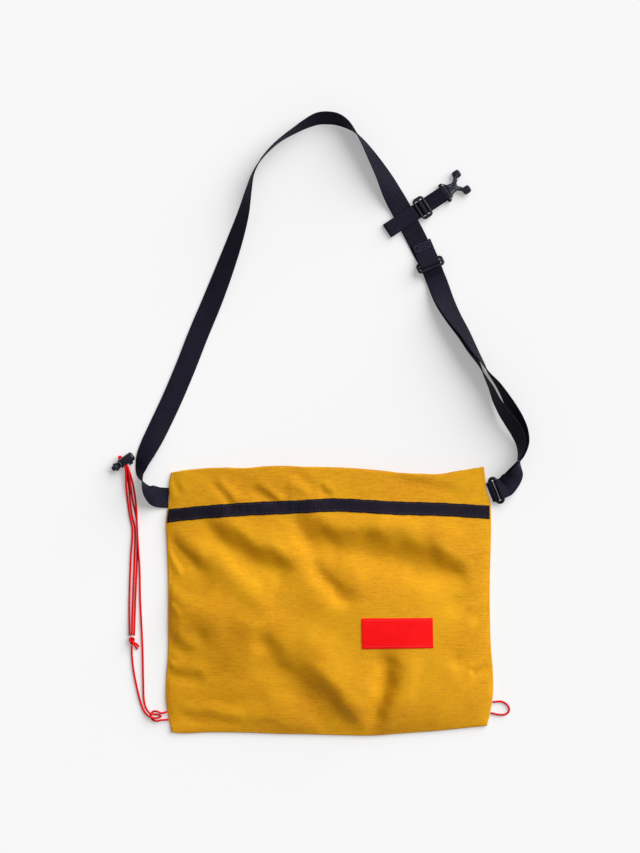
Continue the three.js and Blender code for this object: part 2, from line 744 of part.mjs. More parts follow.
function addShoulderStrap() {
  const seamUp = 1 - strapDrop / bagHeight;
  const seamSpan = strapWide / 2 / bagHeight;
  const seamEdges = [seamUp - seamSpan, seamUp, seamUp + seamSpan].map(leftEdge);
  const seamX = Math.min(...seamEdges) - sewnGap;
  const seamRow = { point: new THREE.Vector3(seamX, mouthY - strapDrop, 0), roll: 180, lift: 0 };
  const runStart = doubledRows[0];
  const lower = [...strapRows, { ...runStart, apart: 0 }];
  const single = routeSections([seamRow, ...lower], 0);

  const approachLift = (strapBarHeight - (webThick + layerPitch) / 2) / layerPitch;
  const nearPoint = strapBar.clone().addScaledVector(ringOut, ringWrap + ringApproach);
  const toRing = [
    ...doubledRows,
    { point: nearPoint, roll: 0, apart: 1, lift: approachLift },
  ];
  const down = routeSections(toRing, -1);
  const up = routeSections(toRing, 1).reverse();

  const ringIn = ringOut.clone().negate();
  const reach = nearPoint.distanceTo(strapBar);
  const roundRing = beltSections([
    { s: 0, z: strapBarHeight - layerPitch / 2, r: 0 },
    { s: reach, z: strapBarHeight, r: -ringWrap },
    { s: 0, z: strapBarHeight + layerPitch / 2, r: 0 },
  ], nearPoint, ringIn);

  const flatHeight = webThick / 2 + layerPitch;
  const rise = slotPitch * Math.sin(sliderTilt);
  const reachOut = slotPitch * Math.cos(sliderTilt);
  const runLength = sliderRun.length();
  const throughSlider = beltSections([
    { s: runLength, z: flatHeight, r: 0 },
    { s: runLength - runBend, z: flatHeight + easeRadius, r: easeRadius },
    { s: reachOut, z: sliderHeight + rise, r: barWrap },
    { s: 0, z: sliderHeight, r: -barWrap },
    { s: -webbingTail * tailBendShare, z: flatHeight + easeRadius, r: easeRadius },
    { s: -webbingTail, z: flatHeight, r: 0 },
  ], sliderPoint, sliderAlong);

  const sections = [
    ...single.slice(0, -1),
    ...down,
    ...roundRing.slice(1, -1),
    ...up.slice(0, -1),
    ...throughSlider,
  ];
  addPiece('shoulder_strap', webbingGeometry(sections, strapWide), blackWebbing);

  const slider = addPiece('strap_slider', sliderGeometry(strapWide), blackPlastic);
  slider.position.set(sliderPoint.x, sliderPoint.y, sliderHeight);
  slider.rotation.order = 'ZYX';
  slider.rotation.z = Math.atan2(sliderAlong.y, sliderAlong.x);
  slider.rotation.y = -sliderTilt;
}

function addRing() {
  const ring = addPiece('strap_ring', ringGeometry(), blackPlastic);
  const middle = tabBar.clone().add(strapBar).multiplyScalar(0.5);
  ring.position.set(middle.x, middle.y, (tabBarHeight + strapBarHeight) / 2);
  ring.rotation.order = 'ZYX';
  ring.rotation.z = ringTurn;
  ring.rotation.y = -ringTilt;

  const acrossTab = new THREE.Vector3(-ringOut.y, ringOut.x, 0);
  const startAt = [-0.5, -0.25, 0, 0.25, 0.5].map((share) => {
    const corner = ringSeam.clone().addScaledVector(acrossTab, share * strapWide);
    const beyond = rightEdge(0.5 + (corner.y + seamGap) / bagHeight) - corner.x;
    return beyond / ringOut.x;
  });
  const start = Math.max(...startAt) + sewnGap;
  const tab = beltSections([
    { s: start, z: webThick / 2, r: 0 },
    { s: ringReach, z: tabBarHeight, r: -ringWrap },
    { s: start, z: webThick / 2 + layerPitch, r: 0 },
  ], ringSeam, ringOut);
  addPiece('ring_tab', webbingGeometry(tab, strapWide), blackWebbing);
}

// The stabiliser strap: looped round the shoulder strap, through its slider, round the bar of
// the buckle half and back under itself.
function addStabiliser() {
  const crossing = strapRows.find((row) => row.mark === 'stabiliser').point;
  const index = strapRows.findIndex((row) => row.mark === 'stabiliser');
  const strapAlong = strapRows[index + 1].point.clone().sub(strapRows[index - 1].point).normalize();
  const up = new THREE.Vector3(0, 0, 1);
  const along = strapAlong.clone().applyAxisAngle(up, stabiliserTurn);
  const turn = Math.atan2(along.y, along.x);

  const lowHeight = webThick / 2;
  const highHeight = layerPitch + webThick + crossingGap + webThick / 2;
  const foldRadius = (highHeight - lowHeight) / 2;
  const strapHalf = strapWide / 2;
  const foldAt = -strapHalf - stabiliserTail;
  const sliderAt = strapHalf + sliderToStrap;
  const buckleAt = sliderAt + buckleToSlider;
  const glideHeight = lowHeight + layerPitch + barWrap;
  const buckleHeight = barWrap + webThick / 2 + layerGap;
  const sections = beltSections([
    { s: strapHalf + startPastStrap, z: lowHeight, r: 0 },
    { s: foldAt + foldRadius, z: lowHeight + foldRadius, r: foldRadius },
    { s: strapHalf + bendPastStrap, z: highHeight - stabiliserBend, r: stabiliserBend },
    { s: sliderAt - slotPitch, z: glideHeight, r: -barWrap },
    { s: sliderAt, z: glideHeight, r: barWrap },
    { s: sliderAt + slotPitch, z: glideHeight, r: -barWrap },
    { s: buckleAt, z: buckleHeight, r: barWrap },
    { s: sliderAt + slotPitch + endPastSlider, z: lowHeight, r: 0 },
  ], crossing, along);
  addPiece('stabiliser_strap', webbingGeometry(sections, stabiliserWide), blackWebbing);

  const slider = addPiece('stabiliser_slider', sliderGeometry(stabiliserWide), blackPlastic);
  slider.position.copy(crossing).addScaledVector(along, sliderAt);
  slider.position.z = glideHeight;
  slider.rotation.z = turn;

  const buckle = addPiece('buckle_half', buckleGeometry(), blackPlastic);
  buckle.position.copy(crossing).addScaledVector(along, buckleAt);
  buckle.position.z = buckleHeight;
  buckle.rotation.z = turn;
}

// The buckle half about its bar's middle: x towards the prongs, y along the bar.
function buckleGeometry() {
  const side = buckleSide.map((row) => [row.along * buckleLength, (row.out * buckleWide) / 2]);
  const shape = new THREE.Shape();
  shape.moveTo(...side[0]);
  side.slice(1).forEach(([x, y]) => shape.lineTo(x, y));
  [...side].reverse().forEach(([x, y]) => shape.lineTo(x, -y));
  shape.closePath();
  const plate = toSolid(bevelledPlate(shape, buckleDeep, barBevel));
  const slotHalf = stabiliserWide / 2 + slotPlay;
  const slotNear = barReach;
  const slotFar = barWrap + webThick / 2 + layerGap;
  const slot = new THREE.BoxGeometry(slotFar - slotNear, 2 * slotHalf, buckleDeep * 2);
  slot.translate((slotNear + slotFar) / 2, 0, 0);
  const behind = new THREE.BoxGeometry(buckleLength, 2 * slotHalf, buckleDeep * 2);
  behind.translate(-barReach - buckleLength / 2, 0, 0);
  const bar = new THREE.CylinderGeometry(barReach, barReach, 2 * slotHalf + 1, barSides);
  const beside = new THREE.BoxGeometry(2 * barReach, 2 * slotHalf, buckleDeep * 2);
  const cut = plate.subtract(toSolid(slot)).subtract(toSolid(behind)).subtract(toSolid(beside));
  return fromSolid(cut.add(toSolid(bar)));
}

// The cord lock about the middle of its cord hole: x along its axis towards the closed end,
// y along the cord hole.
const holeSize = 4 * cordRadius + cordPlay;
const mouthAt = -holeToMouth;
const capAt = mouthAt + lockLength;

function addCordLock() {
  const hole = lockRadius - lockWall;
  const boreEnd = capAt - lockCap;
  const barrelProfile = [
    [hole, mouthAt],
    [lockRadius - lipWide, mouthAt],
    [lockRadius, mouthAt + lipDeep],
    ...capRound.map((row) => [row.radius * lockRadius, capAt - row.back * lockCap]),
    [0, capAt],
    [0, boreEnd],
    [hole, boreEnd],
    [hole, mouthAt],
  ];
  const barrelTurned = turned(barrelProfile);
  const crossHole = new THREE.BoxGeometry(holeSize, 4 * lockRadius, holeSize);
  const barrelSolid = toSolid(barrelTurned).subtract(toSolid(crossHole));
  const lugDeep = lockWall + lugReach - lugSeat;
  const lug = new THREE.BoxGeometry(lugLong, lugDeep, lugHigh);
  lug.translate(capAt - lockCap - lugLong / 2, -hole - lugSeat - lugDeep / 2, 0);
  const barrelWithLug = barrelSolid.add(toSolid(lug));
  const barrel = addPiece('cord_lock_barrel', fromSolid(barrelWithLug), blackPlastic);

  const stem = hole - runningGap;
  const headEnd = mouthAt - runningGap - plungerTravel;
  const tip = headEnd - plungerHead;
  const stemEnd = holeSize / 2 + plungerWall;
  const plungerProfile = [
    ...buttonRound.map((row) => [row.radius * lockRadius, tip + row.along * plungerHead]),
    [stem, headEnd],
    [stem, stemEnd],
    [0, stemEnd],
  ];
  const slotLength = holeSize + plungerTravel + runningGap;
  const slot = new THREE.BoxGeometry(slotLength, 4 * lockRadius, holeSize);
  slot.translate((holeSize + runningGap - slotLength) / 2, 0, 0);
  const plungerSolid = toSolid(turned(plungerProfile)).subtract(toSolid(slot));
  const plunger = addPiece('cord_lock_plunger', fromSolid(plungerSolid), blackPlastic);

  const lockMiddle = new THREE.Vector3(lockX, lockY, lockRadius + runningGap);
  [barrel, plunger].forEach((piece) => {
    piece.position.copy(lockMiddle);
    piece.rotation.z = lockAngle;
  });
}

// A turned body whose axis lies along x, from rows of radius and place along the axis.
function turned(profile) {
  const points = profile.map(([radius, along]) => new THREE.Vector2(radius, along));
  const body = new THREE.LatheGeometry(points, turnedSides);
  body.rotateZ(-Math.PI / 2);
  return body;
}

// A cord's tube, with a step from each chosen point to the next.
class CordRoute extends THREE.CatmullRomCurve3 {
  getPointAt(share, target) {
    return this.getPoint(share, target);
  }

  getTangentAt(share, target) {
    return this.getTangent(share, target);
  }
}

function cordGeometry(route) {
  const points = route.map((point) => new THREE.Vector3(...point));
  const path = new CordRoute(points, false, 'centripetal');
  path.getSpacedPoints = (count) => path.getPoints(count);
  const section = new THREE.Shape();
  for (let i = 0; i < wireSides; i += 1) {
    const angle = (2 * Math.PI * i) / wireSides;
    const place = [cordRadius * Math.cos(angle), cordRadius * Math.sin(angle)];
    if (i === 0) {
      section.moveTo(...place);
    } else {
      section.lineTo(...place);
    }
  }
  section.closePath();
  const steps = points.length - 1;
  return new THREE.ExtrudeGeometry(section, { steps, extrudePath: path, curveSegments: 1 });
}

function addCords() {
  addPiece('lock_cord_long', cordGeometry(lockCordLongRoute), redElastic);
  addPiece('lock_cord_short', cordGeometry(lockCordShortRoute), redElastic);
  addPiece('seam_cord_left', cordGeometry(seamCordLeftRoute), redElastic);
  addPiece('seam_cord_right', cordGeometry(seamCordRightRoute), redElastic);
  const knot = new THREE.SphereGeometry(knotLong / 2, knotSides, wireSides);
  knot.rotateX(Math.PI / 2);
  knot.scale(knotWide / knotLong, 1, knotWide / knotLong);
  const knotPiece = addPiece('cord_knot', knot, redElastic);
  knotPiece.position.set(knotX, knotY, knotWide / 2);
}

addPouch();
addTapeAndLabel();
addShoulderStrap();
addRing();
addStabiliser();
addCordLock();
addCords();

model.traverse((piece) => {
  if (piece.isMesh) {
    piece.geometry = cleanGeometry(piece.geometry);
    piece.geometry.computeVertexNormals();
  }
});

export default model;
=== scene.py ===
import math

import bmesh
import bpy
import numpy as np
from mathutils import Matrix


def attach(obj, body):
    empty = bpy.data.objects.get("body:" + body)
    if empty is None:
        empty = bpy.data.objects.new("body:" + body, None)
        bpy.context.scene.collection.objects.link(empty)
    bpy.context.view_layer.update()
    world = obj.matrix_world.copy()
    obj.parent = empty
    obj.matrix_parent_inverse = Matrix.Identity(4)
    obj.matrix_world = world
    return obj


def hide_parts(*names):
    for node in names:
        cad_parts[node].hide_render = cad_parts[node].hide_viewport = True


# a cycling musette bag lying flat: cloth pouch, webbing strap with its fittings, elastic cord and its lock
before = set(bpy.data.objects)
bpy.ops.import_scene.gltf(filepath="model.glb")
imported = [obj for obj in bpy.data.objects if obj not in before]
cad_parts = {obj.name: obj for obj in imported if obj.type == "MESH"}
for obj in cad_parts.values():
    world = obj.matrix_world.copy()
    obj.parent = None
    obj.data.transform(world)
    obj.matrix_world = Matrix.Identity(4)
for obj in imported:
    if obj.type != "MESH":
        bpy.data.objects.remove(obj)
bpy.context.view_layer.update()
print("the packed bag is in:", len(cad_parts), "nodes")

mm = 0.001

bag = {
    "wide": 320.0,
    "high": 262.0,
    "cloth": 1.4,       # panel thickness that the space of the pouch is based on
    "seamGap": 0.3,
    "puff": 14.0,
    "hem": 40.0,        # depth of the turned hem, where the tape is sewn
    "sewnGap": 0.6,
}
webbing = {
    "strapWide": 20.0,
    "stabiliserWide": 15.0,
    "thick": 1.2,
    "gap": 0.3,
    "reach": 343.0,     # from the mouth to the top of the loop
    "drop": 30.0,       # the left seam end below the mouth
    "stepsPerRow": 8,
    "beltStep": 2.5,    # longest step where it runs straight between two bars
    "arcStep": math.radians(12),
    "tooClose": 0.02,   # points nearer than this to the one before are left out
    "untwist": 3,       # how often the width direction is smoothed
}
mouthY = bag["high"] / 2
halfWide = bag["wide"] / 2
layerPitch = webbing["thick"] + webbing["gap"]
upright, rightward, forward = np.eye(3)[[2, 0, 1]]


def throughRows(places, values, at):
    # a cubic through the rows; its slope at a row is the mean of the two straight slopes beside it
    places, values = np.asarray(places, float), np.asarray(values, float)
    at = np.clip(at, places[0], places[-1])
    straight = np.diff(values) / np.diff(places)
    slope = np.concatenate([straight[:1], (straight[1:] + straight[:-1]) / 2, straight[-1:]])
    i = np.clip(np.searchsorted(places, at, side="right") - 1, 0, len(places) - 2)
    step = places[i + 1] - places[i]
    t = (at - places[i]) / step
    return (
        (2 * t**3 - 3 * t**2 + 1) * values[i]
        + (t**3 - 2 * t**2 + t) * step * slope[i]
        + (3 * t**2 - 2 * t**3) * values[i + 1]
        + (t**3 - t**2) * step * slope[i + 1]
    )


def throughPoints(points, stepsPerPoint):
    # a centripetal Catmull-Rom curve: its tangent at a point weighs the chords beside it by the
    # square roots of their lengths
    points = np.asarray(points, float)
    padded = np.vstack([2 * points[0] - points[1], points, 2 * points[-1] - points[-2]])
    knot = np.sqrt(np.linalg.norm(np.diff(padded, axis=0), axis=1))[:, None]
    before, here, after = knot[:-2], knot[1:-1], knot[2:]
    p0, p1, p2, p3 = padded[:-3], padded[1:-2], padded[2:-1], padded[3:]
    out = ((p1 - p0) / before - (p2 - p0) / (before + here) + (p2 - p1) / here) * here
    into = ((p2 - p1) / here - (p3 - p1) / (here + after) + (p3 - p2) / after) * here
    count = (len(points) - 1) * stepsPerPoint
    place = np.arange(count + 1) / stepsPerPoint
    i = np.minimum(place.astype(int), len(points) - 2)
    t = (place - i)[:, None]
    return (
        (2 * t**3 - 3 * t**2 + 1) * p1[i]
        + (t**3 - 2 * t**2 + t) * out[i]
        + (3 * t**2 - 2 * t**3) * p2[i]
        + (t**3 - t**2) * into[i]
    )


def lengthAlong(points):
    # the running sum of the distances between the points
    return np.concatenate([[0], np.cumsum(np.linalg.norm(np.diff(points, axis=0), axis=1))])


def unit(vectors):
    # each vector divided by its own length
    return vectors / np.maximum(np.linalg.norm(vectors, axis=-1, keepdims=True), 1e-12)


def sameSide(wide):
    # each width direction is turned over where it would point against the one before it
    flips = np.where(np.sum(wide[1:] * wide[:-1], axis=1) < 0, -1, 1)
    return wide * np.concatenate([[1], np.cumprod(flips)])[:, None]


def filledIn(points, nextPoints, steps):
    # point + (next point - point) * share, with each gap divided into its own number of equal steps
    at = np.repeat(np.arange(len(points)), steps)
    share = (np.arange(len(at)) - np.repeat(np.cumsum(steps) - steps, steps)) / steps[at]
    return points[at] + (nextPoints[at] - points[at]) * share[:, None]


def lineAlongY(y, x=0.0):
    # points at one x and height 0, spread along y
    return np.stack([np.full(len(y), x), y, np.zeros(len(y))], -1)


def softNoise(x, y, seed, size):
    # smooth noise of about the given size: the mean of eight sine waves in seeded directions and phases
    draws = np.random.default_rng(seed).uniform(-1, 1, (8, 3))
    total = np.zeros(np.broadcast(x, y).shape)
    for turn, phase, pace in draws:
        angle = turn * math.pi
        wave = 2 * math.pi / (size * (1 + 0.45 * pace))
        total = total + np.sin((x * math.cos(angle) + y * math.sin(angle)) * wave + phase * math.pi * 3)
    return total / len(draws)


def quadGrid(rows, columns, wrapColumns=False):
    # the faces between the points of a grid, numbered row by row
    last = columns if wrapColumns else columns - 1
    r, c = np.meshgrid(np.arange(rows - 1), np.arange(last), indexing="ij")
    nextC = (c + 1) % columns
    corners = [r * columns + c, r * columns + nextC, (r + 1) * columns + nextC, (r + 1) * columns + c]
    return np.stack(corners, -1).reshape(-1, 4)


def addMesh(name, points, faces, material, uvs=None, uvOfPoint=True, closed=True, smooth=True):
    # points in millimetres; uvs in metres, one pair a point, or one pair a face corner
    mesh = bpy.data.meshes.new(name)
    mesh.from_pydata((np.asarray(points, float).reshape(-1, 3) * mm).tolist(), [], faces)
    if uvs is not None:
        layer = mesh.uv_layers.new(name="laid")
        if uvOfPoint:
            corner = np.empty(len(mesh.loops), int)
            mesh.loops.foreach_get("vertex_index", corner)
            uvs = np.asarray(uvs).reshape(-1, 2)[corner]
        layer.data.foreach_set("uv", np.ascontiguousarray(uvs, float).ravel())
    if closed:
        shell = bmesh.new()
        shell.from_mesh(mesh)
        bmesh.ops.recalc_face_normals(shell, faces=shell.faces)
        shell.to_mesh(mesh)
        shell.free()
    mesh.polygons.foreach_set("use_smooth", np.full(len(mesh.polygons), smooth))
    mesh.materials.append(material)
    mesh.update()
    piece = bpy.data.objects.new(name, mesh)
    bpy.context.scene.collection.objects.link(piece)
    return piece


def framesAlong(path, wide):
    # along the path, its direction, the width direction made square to it, and the one across both
    run = unit(np.gradient(path, axis=0))
    side = sameSide(unit(wide - run * np.sum(wide * run, axis=1, keepdims=True)))
    return run, side, np.cross(run, side)


def carryProfile(path, wide, profile, sizes=None, loop=False):
    # each point is path + side * profile x + thickness * profile y, times the size at that step
    if loop:
        longPath = np.vstack([path[-1], path, path[0]])
        longWide = np.vstack([wide[-1], wide, wide[0]])
        _, side, across = (part[1:-1] for part in framesAlong(longPath, longWide))
    else:
        _, side, across = framesAlong(path, wide)
    sizes = np.ones(len(path)) if sizes is None else sizes
    x = profile[None, :, 0, None] * sizes[:, None, None]
    y = profile[None, :, 1, None] * sizes[:, None, None]
    return path[:, None, :] + side[:, None, :] * x + across[:, None, :] * y


def profiledPiece(name, path, wide, profile, material, sizes=None, loop=False):
    # the profile carried along the path, with both ends closed or the path joined up; its uv is the
    # length round the profile and the length along the path
    points = carryProfile(path, wide, profile, sizes, loop)
    rows, columns = points.shape[:2]
    faces = quadGrid(rows, columns, wrapColumns=True)
    around = np.concatenate([[0], np.cumsum(np.linalg.norm(np.diff(profile, axis=0), axis=1))])
    closing = around[-1] + np.linalg.norm(profile[0] - profile[-1])
    along = lengthAlong(path)
    if loop:
        c = np.arange(columns)
        nextC = (c + 1) % columns
        ring = (rows - 1) * columns
        faces = np.vstack([faces, np.stack([ring + c, ring + nextC, nextC, c], -1)])
    r, c = np.divmod(faces, columns)
    atSeam = (c == 0) & (np.roll(c, 1, axis=1) + np.roll(c, -1, axis=1) > columns - 2)
    u = np.where(atSeam, closing, around[c])
    uvs = np.stack([u, along[r]], -1).reshape(-1, 2) * mm
    faces = faces.tolist()
    if not loop:
        ends = [list(range(columns)), list(range((rows - 1) * columns, rows * columns))]
        faces += ends
        uvs = np.vstack([uvs, profile * mm, profile * mm])
    return addMesh(name, points, faces, material, uvs, uvOfPoint=False)


def roundProfile(radius, sides):
    # points at the radius, evenly round a circle, as a closed loop
    angle = np.arange(sides) * 2 * math.pi / sides
    return radius * np.stack([np.cos(angle), np.sin(angle)], -1)


def bandProfile(wide, thick):
    # a flat band with round selvedges and a slight crown, as a closed loop
    across = np.array([-1, -0.97, -0.9, -0.6, -0.3, 0, 0.3, 0.6, 0.9, 0.97, 1]) * wide / 2
    up = thick / 2 * np.array([0.35, 0.8, 1, 0.9, 0.95, 1, 0.95, 0.9, 1, 0.8, 0.35])
    return np.vstack([np.stack([across, up], -1), np.stack([across[::-1], -up[::-1]], -1)])


def joinPieces(pieces, name):
    # several meshes with one material as one piece
    corners, faces, uvs, start = [], [], [], 0
    for piece in pieces:
        mesh = piece.data
        co = np.empty(len(mesh.vertices) * 3)
        mesh.vertices.foreach_get("co", co)
        corners.append(co.reshape(-1, 3) / mm)
        vertexOf = np.empty(len(mesh.loops), int)
        mesh.loops.foreach_get("vertex_index", vertexOf)
        firstOf = np.empty(len(mesh.polygons), int)
        mesh.polygons.foreach_get("loop_start", firstOf)
        faces += [face.tolist() for face in np.split(vertexOf + start, firstOf[1:])]
        uv = np.zeros(len(mesh.loops) * 2)
        if mesh.uv_layers:
            mesh.uv_layers[0].data.foreach_get("uv", uv)
        uvs.append(uv.reshape(-1, 2))
        start += len(mesh.vertices)
    material = pieces[0].data.materials[0]
    for piece in pieces:
        bpy.data.objects.remove(piece)
    return addMesh(name, np.vstack(corners), faces, material, np.vstack(uvs), uvOfPoint=False)


# the camera looks straight down
view = {"middle": (-9.85, 171.4), "frameHigh": 840.2, "away": 2600.0, "film": 36.0, "clipAt": 20.0}
cameraData = bpy.data.cameras.new("camera above")
cameraData.sensor_width = view["film"]
cameraData.lens = view["film"] * view["away"] / view["frameHigh"]
cameraData.clip_end = view["clipAt"]
camera = bpy.data.objects.new("camera above", cameraData)
camera.location = (view["middle"][0] * mm, view["middle"][1] * mm, view["away"] * mm)
bpy.context.scene.collection.objects.link(camera)
bpy.context.scene.camera = camera
print("the camera is up")

# the tape and the label, sewn on the front
tape = {
    "wide": 13.0, "thick": 0.5, "columns": 640, "rows": 16,
    "stitch": 2.6, "stitchGap": 1.1, "stitchWide": 0.42, "stitchLines": (0.13, 0.87), "stitchLift": 0.82,
    "stitchSpan": (0.006, 0.994, 900),              # first and last share along, points
    "wavers": ((0.02, 90, 0), (0.015, 233, 1)),     # share of the width, pace, phase
}
label = {
    "wide": 71.0, "high": 30.0, "thick": 0.45, "columns": 110, "rows": 50,
    "middle": (0.422, -0.2375),     # shares of half the bag's width and height
    "slope": 0.045, "crown": 0.1, "uneven": 0.12, "unevenSize": 16, "seed": 31,
    "stitch": 1.5, "stitchGap": 1.3, "stitchWide": 0.4, "stitchLines": (0.07, 0.93), "stitchLift": 0.78,
    "stitchSpan": (0.02, 0.98, 300),
}
gathers = {     # fine puckers across the tape: where, how wide, how strong
    "places": ((-80.0, 26.0, 1.0), (-28.0, 18.0, 0.7)), "elsewhere": 0.25,
    "high": 0.16, "pitch": 1.55, "sway": 1.4, "swayPitch": 7.0,
    "uneven": 0.1, "unevenSize": 9, "seed": 21,
}
sewn = {
    "fromSeam": 0.0045,     # share of the width that the side seams take up at each end
    "edge": 0.09,           # share of the depth over which the stitches pull the edges down
    "edgeThick": 0.55,
    "under": 0.03,
    "endColumns": (0, 0.004, 0.02), "columnsFrom": 0.04,     # shares at one end, and mirrored at the other
    "endRows": (0, 0.02), "rowsFrom": 0.08,
}

# the outline of the pouch, its puff and its folds
sideRows = np.array([  # up from the bottom, left and right outwards, shares of the width
    (0.0, -0.012, -0.016), (0.03, -0.0077, -0.0108), (0.12, 0.0046, 0.0015), (0.21, 0.004, 0.0015),
    (0.3, -0.0015, -0.0046), (0.42, -0.0015, -0.0077), (0.6, -0.0015, -0.0077), (0.72, 0.002, -0.0046),
    (0.81, 0.0046, -0.0046), (0.87, -0.0015, -0.0077), (0.9, -0.0046, -0.017), (0.96, -0.0046, -0.023),
    (1.0, -0.012, -0.026),
])
endRows = np.array([  # across from -1 to 1, top and bottom outwards, shares of the height
    (-1.0, -0.018, -0.006), (-0.94, -0.0132, -0.0019), (-0.76, -0.0019, -0.0056), (-0.52, -0.0019, -0.004),
    (-0.33, 0.0056, 0.0), (-0.15, 0.0019, 0.0019), (0.1, -0.0019, 0.0056), (0.28, -0.0094, 0.0065),
    (0.47, -0.0207, -0.0019), (0.59, -0.0244, -0.007), (0.71, -0.0244, -0.0125), (0.84, -0.0132, -0.0207),
    (1.0, 0.002, -0.03),
])
riseRows = np.array([  # up, share of the puff
    (0.0, 0.0), (0.05, 0.34), (0.15, 0.72), (0.35, 1.0), (0.6, 1.02), (0.76, 0.8), (0.86, 0.62), (1.0, 0.5),
])
mainFolds = np.array([  # x1, y1, x2, y2 as shares of half the width and height, width, depth
    (-0.77, 0.6, -0.31, 0.21, 0.038, -0.34), (-0.86, 0.4, -0.42, 0.02, 0.05, 0.26),
    (-0.95, 0.42, -0.8, 0.26, 0.03, -0.4), (-0.12, 0.42, 0.09, 0.04, 0.036, -0.28),
    (-0.2, 0.56, 0.8, 0.2, 0.05, -0.24), (-0.7, 0.12, 0.1, 0.0, 0.07, 0.16),
    (-0.4, -0.3, 0.15, -0.97, 0.034, -0.36), (-0.1, -0.3, 0.26, -0.8, 0.045, 0.22),
    (0.33, -0.46, 0.27, -0.97, 0.036, -0.3), (-0.82, -0.8, -0.44, -0.74, 0.034, -0.26),
    (-0.98, -0.2, -0.84, -0.28, 0.03, -0.4), (0.97, 0.02, 0.78, -0.03, 0.03, -0.34),
    (0.97, -0.4, 0.8, -0.46, 0.03, -0.34), (-0.8, 0.97, -0.3, 0.78, 0.03, -0.2),
])
# finer creases, in millimetres from the middle: x1, y1, x2, y2, width, ridge height, and step height,
# which stands on the right of the way from the first point to the second
fineFolds = np.array([
    (-120, 76, -46, 28, 14, -1.0, -8.4),        # below the tape, on the left
    (-153, 62, -127, 34, 8, -0.6, -3.8),
    (-159, 49, -144, 27, 5, 0.5, 2.6),
    (-172, 14, -26, -20, 30, 0.8, 8.5),         # the broad bright swell
    (-20, 46, 19, 1, 10, -0.8, -4.2),
    (-31, 79, 22, 54, 15, -0.6, -7.6),          # the long slope under the tape
    (26, 56, 130, 40, 22, -0.6, -11.5), (0, 70, 112, 60, 15, 0.2, -4.6),
    (96, 50, 136, 27, 10, -0.5, -3.6),
    (-62, -50, 24, -124, 20, -1.0, -8.2),       # the lower valley
    (-8, -62, 34, -112, 9, 0.8, 1.0),
    (66, -54, 50, -127, 11, -1.0, -6.4),        # below the label
    (84, -44, 80, -112, 9, 0.8, 1.2),
    (-148, -110, -82, -118, 8, -0.8, -3.4),
    (-78, -116, -50, -119, 6, -0.3, -2.0),
    (-116, -62, -72, -72, 14, 0.0, -1.4),
    (-157, -30, -133, -50, 8, -0.7, -3.4),
    (-157, -66, -123, -77, 8, -0.6, -3.0),
    (-159, 0, -146, -12, 4, 0.4, 1.7),
    (-157, -54, -147, -61, 4, 0.4, 1.9),
    (158, -7, 136, -16, 8, -0.9, 3.8),
    (157, -60, 140, -68, 6, -0.7, 2.0),
    (156, 64, 140, 56, 4, -0.6, 0.9),
    (-114, 121, -90, 96, 6, 0.3, -2.6),         # above the tape
    (-76, 115, -48, 98, 6, 0.3, -2.9),
    (-39, 121, -18, 104, 6, 0.5, 1.5),
    (-10, 113, 4, 104, 5, -0.3, -1.8),
    (70, 122, 132, 112, 9, -0.3, -1.9),
    (-155, 124, -146, 104, 4, -0.7, -0.9),
    (150, 122, 141, 100, 6, -0.5, 0.8),
])
wrinkles = {
    "wander": ((5.5, 41, 47, 85), (2.2, 43, 53, 30)),   # how far folds stray, two seeds, size
    "foldEnds": 0.14,           # share of its length that a crease runs on past each end
    "fadeIn": 3.4,
    "uneven": 0.35, "unevenSize": 40,
    "small": ((0.22, 1.5, 3, 34), (0.10, 1.0, 5, 13), (0.4, 1.0, 7, 70)),   # height, squeeze, seed, size
    "lift": 0.9,                # the folds stand this much above the puff
    "underLabel": 0.8, "labelReach": (0.62, 0.72),      # creases fade under the label
    "seamPull": 0.4, "seamReach": 9.0, "seamWave": 7.5, "seamDrift": 19.0,
}
shoulders = {"fullness": 2.4, "fromSeam": 14, "fromFold": 12}   # how soon the puff and the folds set in


def leftEdge(up):
    # half the width outwards, plus the row's share of the width
    return -halfWide - bag["wide"] * throughRows(sideRows[:, 0], sideRows[:, 1], up)


def rightEdge(up):
    # the same on the other side
    return halfWide + bag["wide"] * throughRows(sideRows[:, 0], sideRows[:, 2], up)


def topEdge(across):
    # half the height up, plus the row's share of the height
    return mouthY + bag["high"] * throughRows(endRows[:, 0], endRows[:, 1], across)


def bottomEdge(across):
    # the same downwards
    return -mouthY - bag["high"] * throughRows(endRows[:, 0], endRows[:, 2], across)


def panelPlace(u, v):
    # u from the left seam to the right one, v from the bottom fold to the mouth
    across = 2 * u - 1
    left, right = leftEdge(v), rightEdge(v)
    bottom, top = bottomEdge(across), topEdge(across)
    return left + (right - left) * u, bottom + (top - bottom) * v


def shareUp(u, y):
    # how far up the panel a height y lies, where it crosses the panel at u
    across = 2 * u - 1
    return (y - bottomEdge(across)) / (topEdge(across) - bottomEdge(across))


def nearLine(x, y, x1, y1, x2, y2, width):
    # distance from a line's piece and the signed distance to its right, both over the width, and a
    # fade that is one along the middle and falls smoothly to nothing at the two ends
    runX, runY = x2 - x1, y2 - y1
    long = math.hypot(runX, runY)
    share = np.clip(((x - x1) * runX + (y - y1) * runY) / long**2, 0, 1)
    inward = np.clip(np.minimum(share, 1 - share) * wrinkles["fadeIn"], 0, 1)
    away = np.hypot(x - x1 - share * runX, y - y1 - share * runY) / width
    side = ((x - x1) * runY - (y - y1) * runX) / long / width
    return away, side, inward**2 * (3 - 2 * inward)


